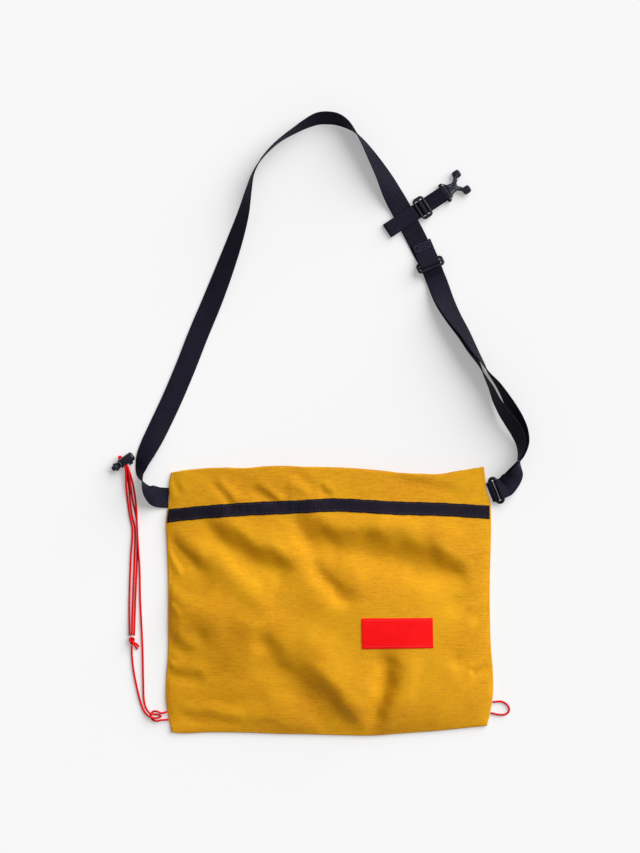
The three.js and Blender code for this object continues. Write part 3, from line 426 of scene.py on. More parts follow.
def pouchHeight(u, v):
    # cloth layers, plus the puff: nothing at the seams and the fold, times one plus the main folds;
    # then the fine creases, each (ridge + step * side) * fade * exp(-away squared), and small wrinkles
    trueX, trueY = panelPlace(u, v)
    # the folds wander a few millimetres from their straight lines
    x, y = trueX, trueY
    for reach, seedX, seedY, size in wrinkles["wander"]:
        x = x + reach * softNoise(trueX, trueY, seedX, size)
        y = y + reach * softNoise(trueX, trueY, seedY, size)
    folded = np.ones(x.shape)
    for x1, y1, x2, y2, width, deep in mainFolds:
        ends = (x1 * halfWide, y1 * mouthY, x2 * halfWide, y2 * mouthY)
        away = nearLine(x, y, *ends, width * bag["wide"])[0]
        folded += deep * np.exp(-away**2)
    fromSeam = 1 - np.abs(2 * u - 1)
    sideways = 1 - np.abs(2 * u - 1) ** shoulders["fullness"]
    rise = throughRows(riseRows[:, 0], riseRows[:, 1], v)
    flat = 2 * bag["cloth"] + bag["seamGap"]
    height = flat + bag["puff"] * sideways * rise * folded
    setIn = np.clip(fromSeam * shoulders["fromSeam"], 0, 1) * np.clip(v * shoulders["fromFold"], 0, 1)
    creases = np.zeros(x.shape)
    for x1, y1, x2, y2, width, ridge, step in fineFolds:
        outX, outY = wrinkles["foldEnds"] * (x2 - x1), wrinkles["foldEnds"] * (y2 - y1)
        away, side, fade = nearLine(x, y, x1 - outX, y1 - outY, x2 + outX, y2 + outY, width)
        seed = int(abs(x1 * 7 + y2)) + 60      # each crease has its own
        uneven = 1 + wrinkles["uneven"] * softNoise(trueX, trueY, seed, wrinkles["unevenSize"])
        creases += (ridge + step * side) * uneven * fade * np.exp(-away**2)
    labelX = (trueX - label["middle"][0] * halfWide) / (label["wide"] * wrinkles["labelReach"][0])
    labelY = (trueY - label["middle"][1] * mouthY) / (label["high"] * wrinkles["labelReach"][1])
    creases = creases * (1 - wrinkles["underLabel"] * np.exp(-((labelX**2 + labelY**2) ** 2)))
    small = sum(high * softNoise(x, y * squeeze, seed, size)
                for high, squeeze, seed, size in wrinkles["small"])
    wave = np.sin(y / wrinkles["seamWave"] + 2 * np.sin(y / wrinkles["seamDrift"]))
    seamPull = wrinkles["seamPull"] * np.exp(-fromSeam * halfWide / wrinkles["seamReach"]) * wave
    folds = np.sqrt(setIn) * (creases + small + wrinkles["lift"])
    return np.maximum(height + folds + seamPull, flat)      # the two cloths never pass through each other


panel = {
    "columns": 214, "rows": 178, "backColumns": 120, "backRows": 100,
    "rollSteps": 4, "turnSteps": 5, "facingRows": 20,
    "cloth": 0.55,
    "frontRoll": 1.5, "backRoll": 1.4,      # radius of the edges that roll into the seams
    "mouthTurn": 0.75,                      # radius of the fold over the mouth
    "facing": 36.0, "facingDrop": 0.25,     # the hem inside the mouth, and how far it hangs away
    "lowest": 1.5,
    "backSwell": 0.25, "backSwellSize": 60, "backSeed": 11,
}


def rolledShares(count):
    # shares from 0 to 1 with extra rows at both ends, and how far round the edge each row has rolled
    extra = panel["rollSteps"]
    shares = np.concatenate([np.zeros(extra), np.linspace(0, 1, count), np.ones(extra)])
    outward = np.linspace(0, 1, extra + 1)[1:]
    roll = np.concatenate([outward[::-1], np.zeros(count), outward])
    sign = np.where(np.arange(len(shares)) < len(shares) / 2, -1, 1)
    return shares, roll, sign


def nearEnd(share):
    # 30 * share - 29 kept between 0 and 1: one at the very end, nothing a thirtieth before it
    return np.clip(share * 30 - 29, 0, 1)


def frontPanel(material):
    # the height of the pouch over its outline; past each seam and the fold the cloth rolls down a
    # quarter circle, and over the mouth it turns in and runs back inside as the hem
    u, rollU, signU = rolledShares(panel["columns"])
    v, rollV, _ = rolledShares(panel["rows"])
    extra, turnSteps = panel["rollSteps"], panel["turnSteps"]
    inside = np.linspace(0, panel["facing"] / bag["high"], panel["facingRows"])[1:]
    turning = np.linspace(0, 1, turnSteps + 1)[1:]
    turn = np.concatenate([np.zeros(len(v) - extra), turning, np.ones(len(inside))])
    v = np.concatenate([v[:-extra], np.ones(turnSteps), 1 - inside])
    rollV = np.concatenate([rollV[:-extra], np.zeros(turnSteps + len(inside))])
    uu, vv = np.meshgrid(u, v)
    x, y = panelPlace(uu, vv)
    z = pouchHeight(uu, vv)
    radius, turnRadius = panel["frontRoll"], panel["mouthTurn"]
    aU = (rollU * math.pi / 2)[None, :]
    aV = (rollV * math.pi / 2)[:, None]
    aT = (turn * math.pi)[:, None]
    x = x + signU[None, :] * radius * (np.sin(aU) - 1) * nearEnd(2 * np.abs(uu - 0.5))
    y = y - radius * (np.sin(aV) - 1) * nearEnd(1 - vv) + turnRadius * (np.sin(aT) - 1) * nearEnd(vv)
    z = z - radius * (1 - np.cos(aU)) - radius * (1 - np.cos(aV))
    z = z - turnRadius * (1 - np.cos(aT)) - panel["facingDrop"] * (turn > 0.99)[:, None]
    z = np.maximum(z, panel["lowest"])
    uv = np.stack([x, y], -1) * mm
    faces = quadGrid(*x.shape).tolist()
    piece = addMesh("bag_front_cloth", np.stack([x, y, z], -1), faces, material, uv, closed=False)
    thicken(piece, panel["cloth"])
    return piece


def thicken(piece, thick):
    # the cloth gets its thickness inwards from the worked-out surface
    wall = piece.modifiers.new("cloth thickness", "SOLIDIFY")
    wall.thickness = thick * mm
    wall.offset = -1
    wall.use_even_offset = False


def backPanel(material):
    # flat on the table with a slight swell, its edges rolled up to the seams
    u, rollU, signU = rolledShares(panel["backColumns"])
    v, rollV, _ = rolledShares(panel["backRows"])
    uu, vv = np.meshgrid(u, v)
    x, y = panelPlace(uu, vv)
    radius = panel["backRoll"]
    aU = (rollU * math.pi / 2)[None, :]
    aV = np.where(vv > 0.5, 0, (rollV * math.pi / 2)[:, None])      # the mouth's edge stays flat
    x = x + signU[None, :] * radius * (np.sin(aU) - 1) * nearEnd(2 * np.abs(uu - 0.5))
    y = y - radius * (np.sin(aV) - 1) * nearEnd(1 - vv)
    z = panel["cloth"] + radius * (1 - np.cos(aU)) + radius * (1 - np.cos(aV))
    swell = 1 + softNoise(x, y, panel["backSeed"], panel["backSwellSize"])
    z = z + panel["backSwell"] * swell * np.sin(np.pi * uu) * np.sin(np.pi * vv)
    uv = np.stack([x, y], -1) * mm
    faces = quadGrid(*x.shape)[:, ::-1].tolist()
    piece = addMesh("bag_back_cloth", np.stack([x, y, z], -1), faces, material, uv, closed=False)
    thicken(piece, panel["cloth"])
    return piece


tapeRows = np.array([  # across, depth of the middle line below the mouth as a share of the hem
    (-1.0, 1.19), (-0.79, 1.1), (-0.49, 1.01), (-0.2, 0.96), (0.03, 0.911), (0.25, 0.948),
    (0.4, 0.985), (0.7, 1.022), (1.0, 1.1),
])


def withEnds(ends, first, count):
    # the end shares, even shares from the first to its mirror image, and the end shares mirrored
    ends = np.array(ends)
    return np.concatenate([ends, np.linspace(first, 1 - first, count), 1 - ends[::-1]])


def sewnOn(name, material, sizes, toPanel, ripple):
    # a closed flat piece that follows the pouch: its top stands thick above the cloth, thinner at
    # the edges, where the stitches pull it down
    p = withEnds(sewn["endColumns"], sewn["columnsFrom"], sizes["columns"])
    q = withEnds(sewn["endRows"], sewn["rowsFrom"], sizes["rows"])
    p = sewn["fromSeam"] + (1 - 2 * sewn["fromSeam"]) * p
    pp, qq = np.meshgrid(p, q)
    u, v = toPanel(pp, qq)
    x, y = panelPlace(u, v)
    base = pouchHeight(u, v)
    inset = np.minimum(np.minimum(qq, 1 - qq) / sewn["edge"], 1)
    fullness = sewn["edgeThick"] + (1 - sewn["edgeThick"]) * np.sqrt(inset)
    top = base + bag["sewnGap"] / 2 + sizes["thick"] * fullness + ripple(x, y, pp, qq)
    low = base + sewn["under"]
    uv = np.stack([x, y], -1) * mm
    rowsAll, columnsAll = x.shape
    n = rowsAll * columnsAll
    upper = quadGrid(rowsAll, columnsAll)
    lower = upper[:, ::-1] + n
    grid = np.arange(n).reshape(rowsAll, columnsAll)
    rim = np.concatenate([grid[0, :], grid[1:, -1], grid[-1, -2::-1], grid[-2:0:-1, 0]])
    nextRim = np.roll(rim, -1)
    walls = np.stack([rim, rim + n, nextRim + n, nextRim], -1)
    points = np.vstack([np.stack([x, y, top], -1).reshape(-1, 3), np.stack([x, y, low], -1).reshape(-1, 3)])
    faces = np.vstack([upper, lower, walls])
    uvs = np.tile(uv.reshape(-1, 2), (2, 1))
    return addMesh(name, points, faces.tolist(), material, uvs)


def tapeToPanel(p, q):
    # its middle line lies through the rows, and its width wavers a little along the way
    y = mouthY - bag["hem"] * throughRows(tapeRows[:, 0], tapeRows[:, 1], 2 * p - 1)
    waver = sum(share * np.sin(p * pace + phase) for share, pace, phase in tape["wavers"])
    return p, shareUp(p, y + (q - 0.5) * tape["wide"] * (1 + waver))


def tapeRipple(x, y, p, q):
    # fine puckers across the tape, strongest where the cloth is gathered, and none at its two edges
    gathered = sum(share * np.exp(-(((x - place) / wide) ** 2)) for place, wide, share in gathers["places"])
    wave = np.sin(x / gathers["pitch"] + gathers["sway"] * np.sin(x / gathers["swayPitch"]))
    puckers = gathers["high"] * (gathered + gathers["elsewhere"]) * wave
    uneven = gathers["uneven"] * softNoise(x, y, gathers["seed"], gathers["unevenSize"])
    return np.sin(math.pi * q) * (puckers + uneven)


def labelToPanel(p, q):
    # a rectangle whose lower edge slopes a little
    across = label["middle"][0] * halfWide + (p - 0.5) * label["wide"]
    u = across / bag["wide"] + 0.5
    sloped = 1 - label["slope"] * (p - 0.5) * (q < 0.5)
    y = label["middle"][1] * mouthY + (q - 0.5) * label["high"] * sloped
    return u, shareUp(u, y)


def labelRipple(x, y, p, q):
    # soft noise that fades at the two ends, plus a low crown across
    uneven = label["uneven"] * softNoise(x, y, label["seed"], label["unevenSize"])
    return uneven * np.sin(math.pi * p) + label["crown"] * np.sin(math.pi * q)


bead = {"sides": 6, "high": 0.30, "flatness": 0.5, "raised": 0.2}
beadRows = np.array([(0.0, 0.25), (0.2, 0.85), (0.5, 1.0), (0.8, 0.85), (1.0, 0.25)])      # along, swell


def stitchRun(name, points, material, sizes):
    # along the line: each stitch is a flattened six-sided bead between two needle holes
    sides, rings, high = bead["sides"], len(beadRows), bead["high"]
    long, gap, wide = sizes["stitch"], sizes["stitchGap"], sizes["stitchWide"]
    along = lengthAlong(points)
    starts = np.arange(gap, along[-1] - long, long + gap)
    ring = np.arange(sides) * 2 * math.pi / sides
    shares, swell = beadRows.T
    s = starts[:, None] + shares[None, :] * long
    middle = np.stack([np.interp(s, along, points[:, k]) for k in range(3)], -1)
    run = unit(middle[:, -1] - middle[:, 0])[:, None, :]
    side = unit(np.cross(upright, run))
    out = unit(np.cross(run, side))
    x = np.cos(ring)[None, None, :, None] * swell[None, :, None, None] * wide / 2
    section = np.sin(ring) * bead["flatness"] + bead["raised"]
    z = section[None, None, :, None] * swell[None, :, None, None] * high
    beads = middle[:, :, None, :] + side[:, :, None, :] * x + out[:, :, None, :] * z
    first = np.arange(len(starts))[:, None, None] * sides * rings
    walls = (quadGrid(rings, sides, wrapColumns=True)[None] + first).reshape(-1, 4)
    ends = np.arange(sides) + np.array([[0], [sides * (rings - 1)]])
    caps = (ends[None] + first).reshape(-1, sides)
    return addMesh(name, beads.reshape(-1, 3), walls.tolist() + caps.tolist(), material)


def stitchesOnPanel(name, toPanel, line, sizes, material):
    # line gives the two shares along a sewn piece; the stitches lie on its top
    u, v = toPanel(*line)
    x, y = panelPlace(u, v)
    z = pouchHeight(u, v) + sizes["stitchLift"]
    return stitchRun(name, np.stack([x, y, z], -1), material, sizes)


# the route of the webbing, and the plastic fittings on it
strapRows = np.array([  # across, up, roll in degrees, webbing layers underneath
    (-1.0646, -0.0841, 168, 0), (-1.1146, -0.0705, 124, 0), (-1.1471, -0.0439, 92, 0),
    (-1.1631, -0.0187, 66, 0), (-1.1551, 0.0072, 50, 0), (-1.1323, 0.0388, 30, 0),
    (-1.0615, 0.1077, 6, 0), (-0.9692, 0.1996, 0, 0), (-0.8862, 0.2915, 0, 0), (-0.8092, 0.3834, 0, 0),
    (-0.7262, 0.4753, 10, 0), (-0.6492, 0.5672, 24, 0), (-0.5785, 0.6591, 39, 0),
    (-0.5323, 0.728, 54, 0), (-0.4985, 0.7969, 72, 0), (-0.4738, 0.84, 82, 0), (-0.4338, 0.8753, 86, 0),
    (-0.3723, 0.9103, 89, 0), (-0.3015, 0.9393, 93, 0), (-0.2228, 0.9635, 100, 0),
    (-0.1446, 0.985, 110, 0), (-0.08, 0.9982, 119, 0), (-0.0228, 1.0011, 122, 0),
    (0.0431, 0.9971, 119, 0), (0.1015, 0.9833, 107, 0), (0.1495, 0.9635, 90, 0),
    (0.2031, 0.9319, 75, 0), (0.2615, 0.8888, 59, 0), (0.3262, 0.8371, 41, 0),
    (0.3815, 0.7869, 18, 0.3), (0.4277, 0.7481, 0, 1), (0.4671, 0.7141, 0, 1), (0.4935, 0.6911, 0, 1),
    (0.5262, 0.6619, 0, 0.2), (0.5662, 0.6246, 0, 0), (0.6154, 0.5816, 0, 0),
])
crossingRow = 31    # where the stabiliser webbing passes over
doubledRows = np.array([  # from the slider to the ring: across, up, roll, layers apart
    (0.6578, 0.533, 0, 1), (0.7046, 0.4753, 24, 1.3), (0.7569, 0.4293, 42, 1.5),
    (0.8185, 0.3834, 57, 2.0), (0.8738, 0.3374, 68, 2.2), (0.9231, 0.3001, 80, 2.5),
    (0.9631, 0.2656, 90, 3.4), (1.0092, 0.2326, 100, 5.2), (1.0462, 0.1996, 108, 6.8),
    (1.0923, 0.1623, 118, 7.0), (1.1292, 0.1335, 124, 5.9), (1.16, 0.1048, 124, 4.4),
    (1.1785, 0.0732, 116, 2.8), (1.1754, 0.0445, 102, 1.6), (1.1582, 0.0187, 86, 1.4),
    (1.1415, -0.0043, 58, 2.2), (1.1215, -0.0273, 30, 2.6),
])
fittings = {
    "barWide": 2.2, "barDeep": 2.6, "barBevel": 0.6, "railWide": 3.2, "slotPlay": 0.8,
    "sliderTilt": math.radians(38), "threadSlope": math.radians(72), "tail": 24.0,
    "ringWire": 1.7, "ringPitch": 7.4, "ringDrop": 26.0, "ringReach": 6.4,
    "ringTurn": math.radians(22), "ringTilt": math.radians(27),
    "stabiliserTurn": math.radians(95), "stabiliserTail": 12.0,
    "sliderToStrap": 9.5, "buckleToSlider": 26.0, "crossingGap": 0.6, "intoSeam": 0.3,
    "ringApproach": 4.0, "bend": 4.0, "bendFromRow": 5.0, "tailBend": 0.62, "passBend": 1.0,
    "startPast": 1.0, "bendPast": 1.2, "endPast": 4.0,      # past the strap's edge, and past the slider
    "frameCorner": 1.7, "frameExtra": 0.2, "railThin": 0.1, "railShort": 1.2,
    "buckleLong": 24.0, "buckleWide": 20.0, "buckleDeep": 5.0, "buckleBarInto": 0.8,
    "grooveFrom": 9.2, "grooveTo": 15.5, "grooveHalf": 0.9, "grooveFloor": 1.9,
}
barReach = math.hypot(fittings["barWide"] / 2 - fittings["barBevel"], fittings["barDeep"] / 2)
barWrap = barReach + webbing["gap"] + webbing["thick"] / 2
slotPitch = 2 * barWrap / math.sin(fittings["threadSlope"])


def routePlace(rows):
    # shares of half the bag's width across and of the loop's reach above the mouth
    across, up = rows[:, 0] * halfWide, mouthY + rows[:, 1] * webbing["reach"]
    return np.stack([across, up, np.zeros(len(rows))], -1)


def routeSections(points, roll, lift, apart, layer):
    # the middle line and the width direction of a webbing: its edge or its stack stands on the table,
    # and each layer of a doubled webbing is moved out along its own face
    steps = webbing["stepsPerRow"]
    path = throughPoints(points, steps)
    index = np.arange(len(points))
    at = np.arange(len(path)) / steps
    roll = np.radians(throughRows(index, roll, at))
    lift = throughRows(index, lift, at)
    apart = throughRows(index, apart, at) * layerPitch
    run = np.gradient(path, axis=0)
    flat = unit(np.stack([run[:, 1], -run[:, 0], np.zeros(len(run))], -1))
    wide = flat * np.cos(roll)[:, None] + upright * np.sin(roll)[:, None]
    normal = -flat * np.sin(roll)[:, None] + upright * np.cos(roll)[:, None]
    edge = webbing["strapWide"] / 2 * np.abs(np.sin(roll))
    stack = (webbing["thick"] + apart) / 2 * np.abs(np.cos(roll))
    path[:, 2] = edge + stack + lift * layerPitch
    return path + normal * (layer * apart / 2)[:, None], wide


def beltPath(stops):
    # arcs of signed radius round bars and straight runs between them, in an upright plane
    s, z, r = np.array(stops, float).T
    run, rise = np.diff(s), np.diff(z)
    legs = np.arctan2(rise, run) - np.arcsin((r[:-1] - r[1:]) / np.hypot(run, rise))
    into = np.concatenate([legs[:1], legs])
    out = np.concatenate([legs, legs[-1:]])
    turn = np.arctan2(np.sin(out - into), np.cos(out - into))
    turn = np.where((r > 0) & (turn > 0.5), turn - 2 * math.pi, turn)
    turn = np.where((r < 0) & (turn < -0.5), turn + 2 * math.pi, turn)
    points = []
    for i in range(len(s)):
        count = 0 if r[i] == 0 else max(2, math.ceil(abs(turn[i]) / webbing["arcStep"]))
        angle = into[i] + turn[i] * np.arange(count + 1) / max(count, 1)
        points.append(np.stack([s[i] - r[i] * np.sin(angle), z[i] + r[i] * np.cos(angle)], -1))
    return np.vstack(points)


def beltSections(stops, origin, along):
    # long straight runs get points of their own, so the weave and the shading stay even
    flat = beltPath(stops)
    gaps = np.linalg.norm(np.diff(flat, axis=0), axis=1)
    steps = np.maximum(1, np.ceil(gaps / webbing["beltStep"]).astype(int))
    flat = np.vstack([filledIn(flat[:-1], flat[1:], steps), flat[-1:]])
    path = origin + along * flat[:, :1]
    path[:, 2] = flat[:, 1]
    wide = np.tile(np.array([-along[1], along[0], 0.0]), (len(path), 1))
    return path, wide


def withoutRepeats(path, wide):
    # the path and its width direction, without the points that lie too close to the one before
    apart = np.linalg.norm(np.diff(path, axis=0), axis=1)
    keep = np.concatenate([[True], apart > webbing["tooClose"]])
    return path[keep], wide[keep]


def smoothed(values, times):
    # each point drawn towards the mean of its neighbours, with both ends kept
    for _ in range(times):
        values = np.vstack([values[:1], (values[:-2] + 2 * values[1:-1] + values[2:]) / 4, values[-1:]])
    return values


def webbingPiece(name, path, wide, width, material):
    # the flat band carried along the path, with its width along the given directions
    return profiledPiece(name, path, wide, bandProfile(width, webbing["thick"]), material)


strapPoints, doubledPoints = routePlace(strapRows), routePlace(doubledRows)
sliderPoint = strapPoints[-1]
sliderAlong = unit(doubledPoints[0] - sliderPoint)
sliderHigh = webbing["thick"] + webbing["gap"] + barReach + slotPitch * math.sin(fittings["sliderTilt"])
ringWrap = fittings["ringWire"] + webbing["gap"] + webbing["thick"] / 2
tabBarHigh = ringWrap + webbing["thick"] / 2
strapBarHigh = tabBarHigh + fittings["ringPitch"] * math.sin(fittings["ringTilt"])
ringOut = np.array([math.cos(fittings["ringTurn"]), math.sin(fittings["ringTurn"]), 0])
ringSeamX = float(rightEdge(1 - fittings["ringDrop"] / bag["high"]))
ringSeam = np.array([ringSeamX, mouthY - fittings["ringDrop"], 0])
tabBar = ringSeam + ringOut * fittings["ringReach"]
strapBar = tabBar + ringOut * fittings["ringPitch"] * math.cos(fittings["ringTilt"])


def shoulderStrap(material):
    # one webbing: from the left seam over the loop, beneath the slider, down to the ring, round its
    # bar, back up and through the slider
    seamSpan = webbing["strapWide"] / 2 / bag["high"]
    seamUp = 1 - webbing["drop"] / bag["high"] + np.array([-seamSpan, 0, seamSpan])
    seamX = float(np.mean(leftEdge(seamUp))) + fittings["intoSeam"]
    seam = np.array([[seamX, mouthY - webbing["drop"], 0]])
    points = np.vstack([seam, strapPoints, doubledPoints[:1]])
    roll = np.concatenate([[180], strapRows[:, 2], [0]])
    lift = np.concatenate([[0], strapRows[:, 3], [0]])
    single = routeSections(points, roll, lift, np.zeros(len(lift)), 0)
    approach = (strapBarHigh - (webbing["thick"] + layerPitch) / 2) / layerPitch
    nearPoint = strapBar + ringOut * (ringWrap + fittings["ringApproach"])
    points = np.vstack([doubledPoints, nearPoint])
    roll = np.append(doubledRows[:, 2], 0)
    lift = np.append(np.zeros(len(doubledRows)), approach)
    apart = np.append(doubledRows[:, 3], 1)
    down = routeSections(points, roll, lift, apart, -1)
    up = tuple(part[::-1] for part in routeSections(points, roll, lift, apart, 1))
    reach = float(np.linalg.norm(nearPoint - strapBar))
    roundRing = beltSections([
        (0, strapBarHigh - layerPitch / 2, 0), (reach, strapBarHigh, -ringWrap),
        (0, strapBarHigh + layerPitch / 2, 0),
    ], nearPoint, -ringOut)
    flatHigh = webbing["thick"] / 2 + layerPitch
    rise = slotPitch * math.sin(fittings["sliderTilt"])
    long = float(np.linalg.norm(doubledPoints[0] - sliderPoint))
    bend = fittings["bend"]
    through = beltSections([
        (long, flatHigh, 0), (long - fittings["bendFromRow"], flatHigh + bend, bend),
        (slotPitch * math.cos(fittings["sliderTilt"]), sliderHigh + rise, barWrap), (0, sliderHigh, -barWrap),
        (-fittings["tail"] * fittings["tailBend"], flatHigh + bend, bend), (-fittings["tail"], flatHigh, 0),
    ], sliderPoint, sliderAlong)
    parts = [single, down, roundRing, up, through]
    # the width direction keeps its side from part to part
    path = np.vstack([part[0] for part in parts])
    wide = sameSide(np.vstack([part[1] for part in parts]))
    path, wide = withoutRepeats(path, wide)
    # the ring's kink is spread out, but the tight turns round the bars stay
    wide = unit(smoothed(wide, webbing["untwist"]))
    return webbingPiece("shoulder_webbing", path, wide, webbing["strapWide"], material)


def ringTab(material):
    # a short webbing out of the seam, round the ring's bar and back; it starts just clear of the bag
    across = np.array([-ringOut[1], ringOut[0], 0])
    shares = np.linspace(-0.5, 0.5, 5)[:, None] * webbing["strapWide"]
    corners = ringSeam + across * shares
    beyond = rightEdge(0.5 + (corners[:, 1] + bag["seamGap"]) / bag["high"]) - corners[:, 0]
    start = float(np.max(beyond / ringOut[0])) + bag["sewnGap"]
    path, wide = beltSections([
        (start, webbing["thick"] / 2, 0), (fittings["ringReach"], tabBarHigh, -ringWrap),
        (start, webbing["thick"] / 2 + layerPitch, 0),
    ], ringSeam, ringOut)
    return webbingPiece("ring_tab_webbing", *withoutRepeats(path, wide), webbing["strapWide"], material)


crossing = strapPoints[crossingRow]
strapAlong = unit(strapPoints[crossingRow + 1] - strapPoints[crossingRow - 1])
turnCos, turnSin = math.cos(fittings["stabiliserTurn"]), math.sin(fittings["stabiliserTurn"])
stabiliserAlong = np.array([
    strapAlong[0] * turnCos - strapAlong[1] * turnSin, strapAlong[0] * turnSin + strapAlong[1] * turnCos, 0,
])
glideAt = webbing["strapWide"] / 2 + fittings["sliderToStrap"]
buckleAt = glideAt + fittings["buckleToSlider"]
glideHigh = webbing["thick"] / 2 + layerPitch + barWrap
buckleHigh = barWrap + webbing["thick"] / 2 + webbing["gap"]


def stabiliserStrap(material):
    # looped round the shoulder strap, through its own slider, round the buckle's bar and back under
    low = webbing["thick"] / 2
    high = layerPitch + webbing["thick"] + fittings["crossingGap"] + webbing["thick"] / 2
    foldRadius = (high - low) / 2
    half, bend = webbing["strapWide"] / 2, fittings["passBend"]
    path, wide = beltSections([
        (half + fittings["startPast"], low, 0),
        (-half - fittings["stabiliserTail"] + foldRadius, low + foldRadius, foldRadius),
        (half + fittings["bendPast"], high - bend, bend),
        (glideAt - slotPitch, glideHigh, -barWrap), (glideAt, glideHigh, barWrap),
        (glideAt + slotPitch, glideHigh, -barWrap), (buckleAt, buckleHigh, barWrap),
        (glideAt + slotPitch + fittings["endPast"], low, 0),
    ], crossing, stabiliserAlong)
    path, wide = withoutRepeats(path, wide)
    return webbingPiece("stabiliser_webbing", path, wide, webbing["stabiliserWide"], material)


def placed(points, origin, turn, tilt=0.0):
    # tipped up at its +x end, turned about the vertical, then moved
    x = points[..., 0] * math.cos(tilt) - points[..., 2] * math.sin(tilt)
    z = points[..., 0] * math.sin(tilt) + points[..., 2] * math.cos(tilt)
    y = points[..., 1]
    cosine, sine = math.cos(turn), math.sin(turn)
    return np.stack([x * cosine - y * sine, x * sine + y * cosine, z], -1) + origin


def softSquare(wide, deep, sides=20, power=0.55):
    # a superellipse: cosine and sine, each raised to the power with its sign kept
    angle = np.arange(sides) * 2 * math.pi / sides
    shape = [np.sign(wave) * np.abs(wave) ** power for wave in (np.cos(angle), np.sin(angle))]
    return np.stack([shape[0] * wide / 2, shape[1] * deep / 2], -1)


def roundedLoop(halfX, halfY, corner, perCorner=8, perSide=5):
    # a rectangle with round corners as a closed path, with its outward direction at each point
    angle = np.linspace(0, math.pi / 2, perCorner) + np.arange(4)[:, None] * math.pi / 2
    outward = np.stack([np.cos(angle), np.sin(angle)], -1)
    signs = np.array([(1, 1), (-1, 1), (-1, -1), (1, -1)])[:, None]
    path = (signs * np.array([halfX - corner, halfY - corner]) + outward * corner).reshape(-1, 2)
    outward = outward.reshape(-1, 2)
    nextPath = np.roll(path, -1, axis=0)
    isSide = np.linalg.norm(nextPath - path, axis=1) > corner * 0.6
    steps = np.where(isSide, perSide, 1)
    flat = filledIn(path, nextPath, steps)
    out = filledIn(outward, np.roll(outward, -1, axis=0), steps)
    level = np.zeros((len(flat), 1))
    return np.hstack([flat, level]), np.hstack([out, level])


def triGlide(name, width, origin, turn, tilt, material):
    # a moulded frame with a middle bar and two broad side rails: soft square sections carried round a
    # rectangle, straight across it, and along its two sides
    frameX = slotPitch
    frameY = width / 2 + fittings["slotPlay"] + fittings["railWide"] / 2
    deep, barWide = fittings["barDeep"], fittings["barWide"]
    path, out = roundedLoop(frameX, frameY, fittings["frameCorner"])
    section = softSquare(barWide + fittings["frameExtra"], deep)
    parts = [profiledPiece(name, path, out, section, material, loop=True)]
    bar = lineAlongY(np.linspace(-frameY, frameY, 9))
    parts.append(profiledPiece("bar", bar, np.tile(rightward, (9, 1)), softSquare(barWide, deep), material))
    railReach = frameX - fittings["railShort"]
    section = softSquare(fittings["railWide"], deep - fittings["railThin"])
    for side in (-1, 1):
        rail = np.linspace(-railReach, railReach, 5)[:, None] * rightward + side * frameY * forward
        parts.append(profiledPiece("rail", rail, np.tile(forward, (5, 1)), section, material))
    whole = joinPieces(parts, name)
    moveMesh(whole, origin, turn, tilt)
    return whole


def moveMesh(piece, origin, turn, tilt=0.0):
    # the piece itself stays at the origin, and its points are moved
    mesh = piece.data
    co = np.empty(len(mesh.vertices) * 3)
    mesh.vertices.foreach_get("co", co)
    mesh.vertices.foreach_set("co", placed(co.reshape(-1, 3), np.asarray(origin) * mm, turn, tilt).ravel())
    mesh.update()


def ringPiece(material):
    # round wire carried round a long loop, tipped between the tab's bar and the strap's bar
    half = webbing["strapWide"] / 2 + fittings["slotPlay"] + fittings["ringWire"]
    pitch = fittings["ringPitch"] / 2
    path, out = roundedLoop(pitch, half, pitch - 0.02, perCorner=10, perSide=8)
    wire = roundProfile(fittings["ringWire"], 18)
    ring = profiledPiece("strap_ring_moulded", path, out, wire, material, loop=True)
    middle = (tabBar + strapBar) / 2
    middle[2] = (tabBarHigh + strapBarHigh) / 2
    moveMesh(ring, middle, fittings["ringTurn"], fittings["ringTilt"])
    return ring


buckleRows = np.array([  # along the buckle and outwards, shares of its length and half width
    (-0.07, 0.86), (-0.03, 1.0), (0.07, 1.0), (0.15, 0.82), (0.26, 0.58), (0.38, 0.48),
    (0.48, 0.46), (0.56, 0.6), (0.64, 0.78), (0.67, 1.2), (0.73, 1.27), (0.93, 1.27),
    (0.98, 1.16), (0.98, 0.64), (0.93, 0.54), (0.75, 0.52), (0.71, 0.36), (0.62, 0.14),
])


bevelRows = [(0, 0.9), (0.12, 0.45), (0.4, 0.15), (0.9, 0)]      # in from the plate's face, inset


def outlineSolid(name, outline, levels, material):
    # the outline at each level (height, inset), inset along its own normals, closed at both ends
    run = np.roll(outline, -1, axis=0) - np.roll(outline, 1, axis=0)
    normal = unit(np.stack([-run[:, 1], run[:, 0]], -1))
    loops = [np.hstack([outline + normal * inset, np.full((len(outline), 1), z)]) for z, inset in levels]
    n = len(outline)
    faces = quadGrid(len(levels), n, wrapColumns=True).tolist()
    faces += [list(range(n)), list(range((len(levels) - 1) * n, len(levels) * n))]
    return addMesh(name, np.vstack(loops), faces, material)


def cutBy(piece, cutters):
    # the cutters, taken off one by one
    for cutter in cutters:
        cut = piece.modifiers.new("cut", "BOOLEAN")
        cut.operation = "DIFFERENCE"
        cut.solver = "EXACT"
        cut.object = cutter
        ready = bpy.data.meshes.new_from_object(piece.evaluated_get(bpy.context.evaluated_depsgraph_get()))
        piece.modifiers.clear()
        piece.data = ready
        bpy.data.objects.remove(cutter)


def plainBox(lowCorner, highCorner, material):
    # a cutter between its two corners
    lowCorner, highCorner = np.asarray(lowCorner, float), np.asarray(highCorner, float)
    outline = np.array([(0, 0), (1, 0), (1, 1), (0, 1)], float) * (highCorner - lowCorner)[:2] + lowCorner[:2]
    return outlineSolid("box", outline, [(lowCorner[2], 0), (highCorner[2], 0)], material)


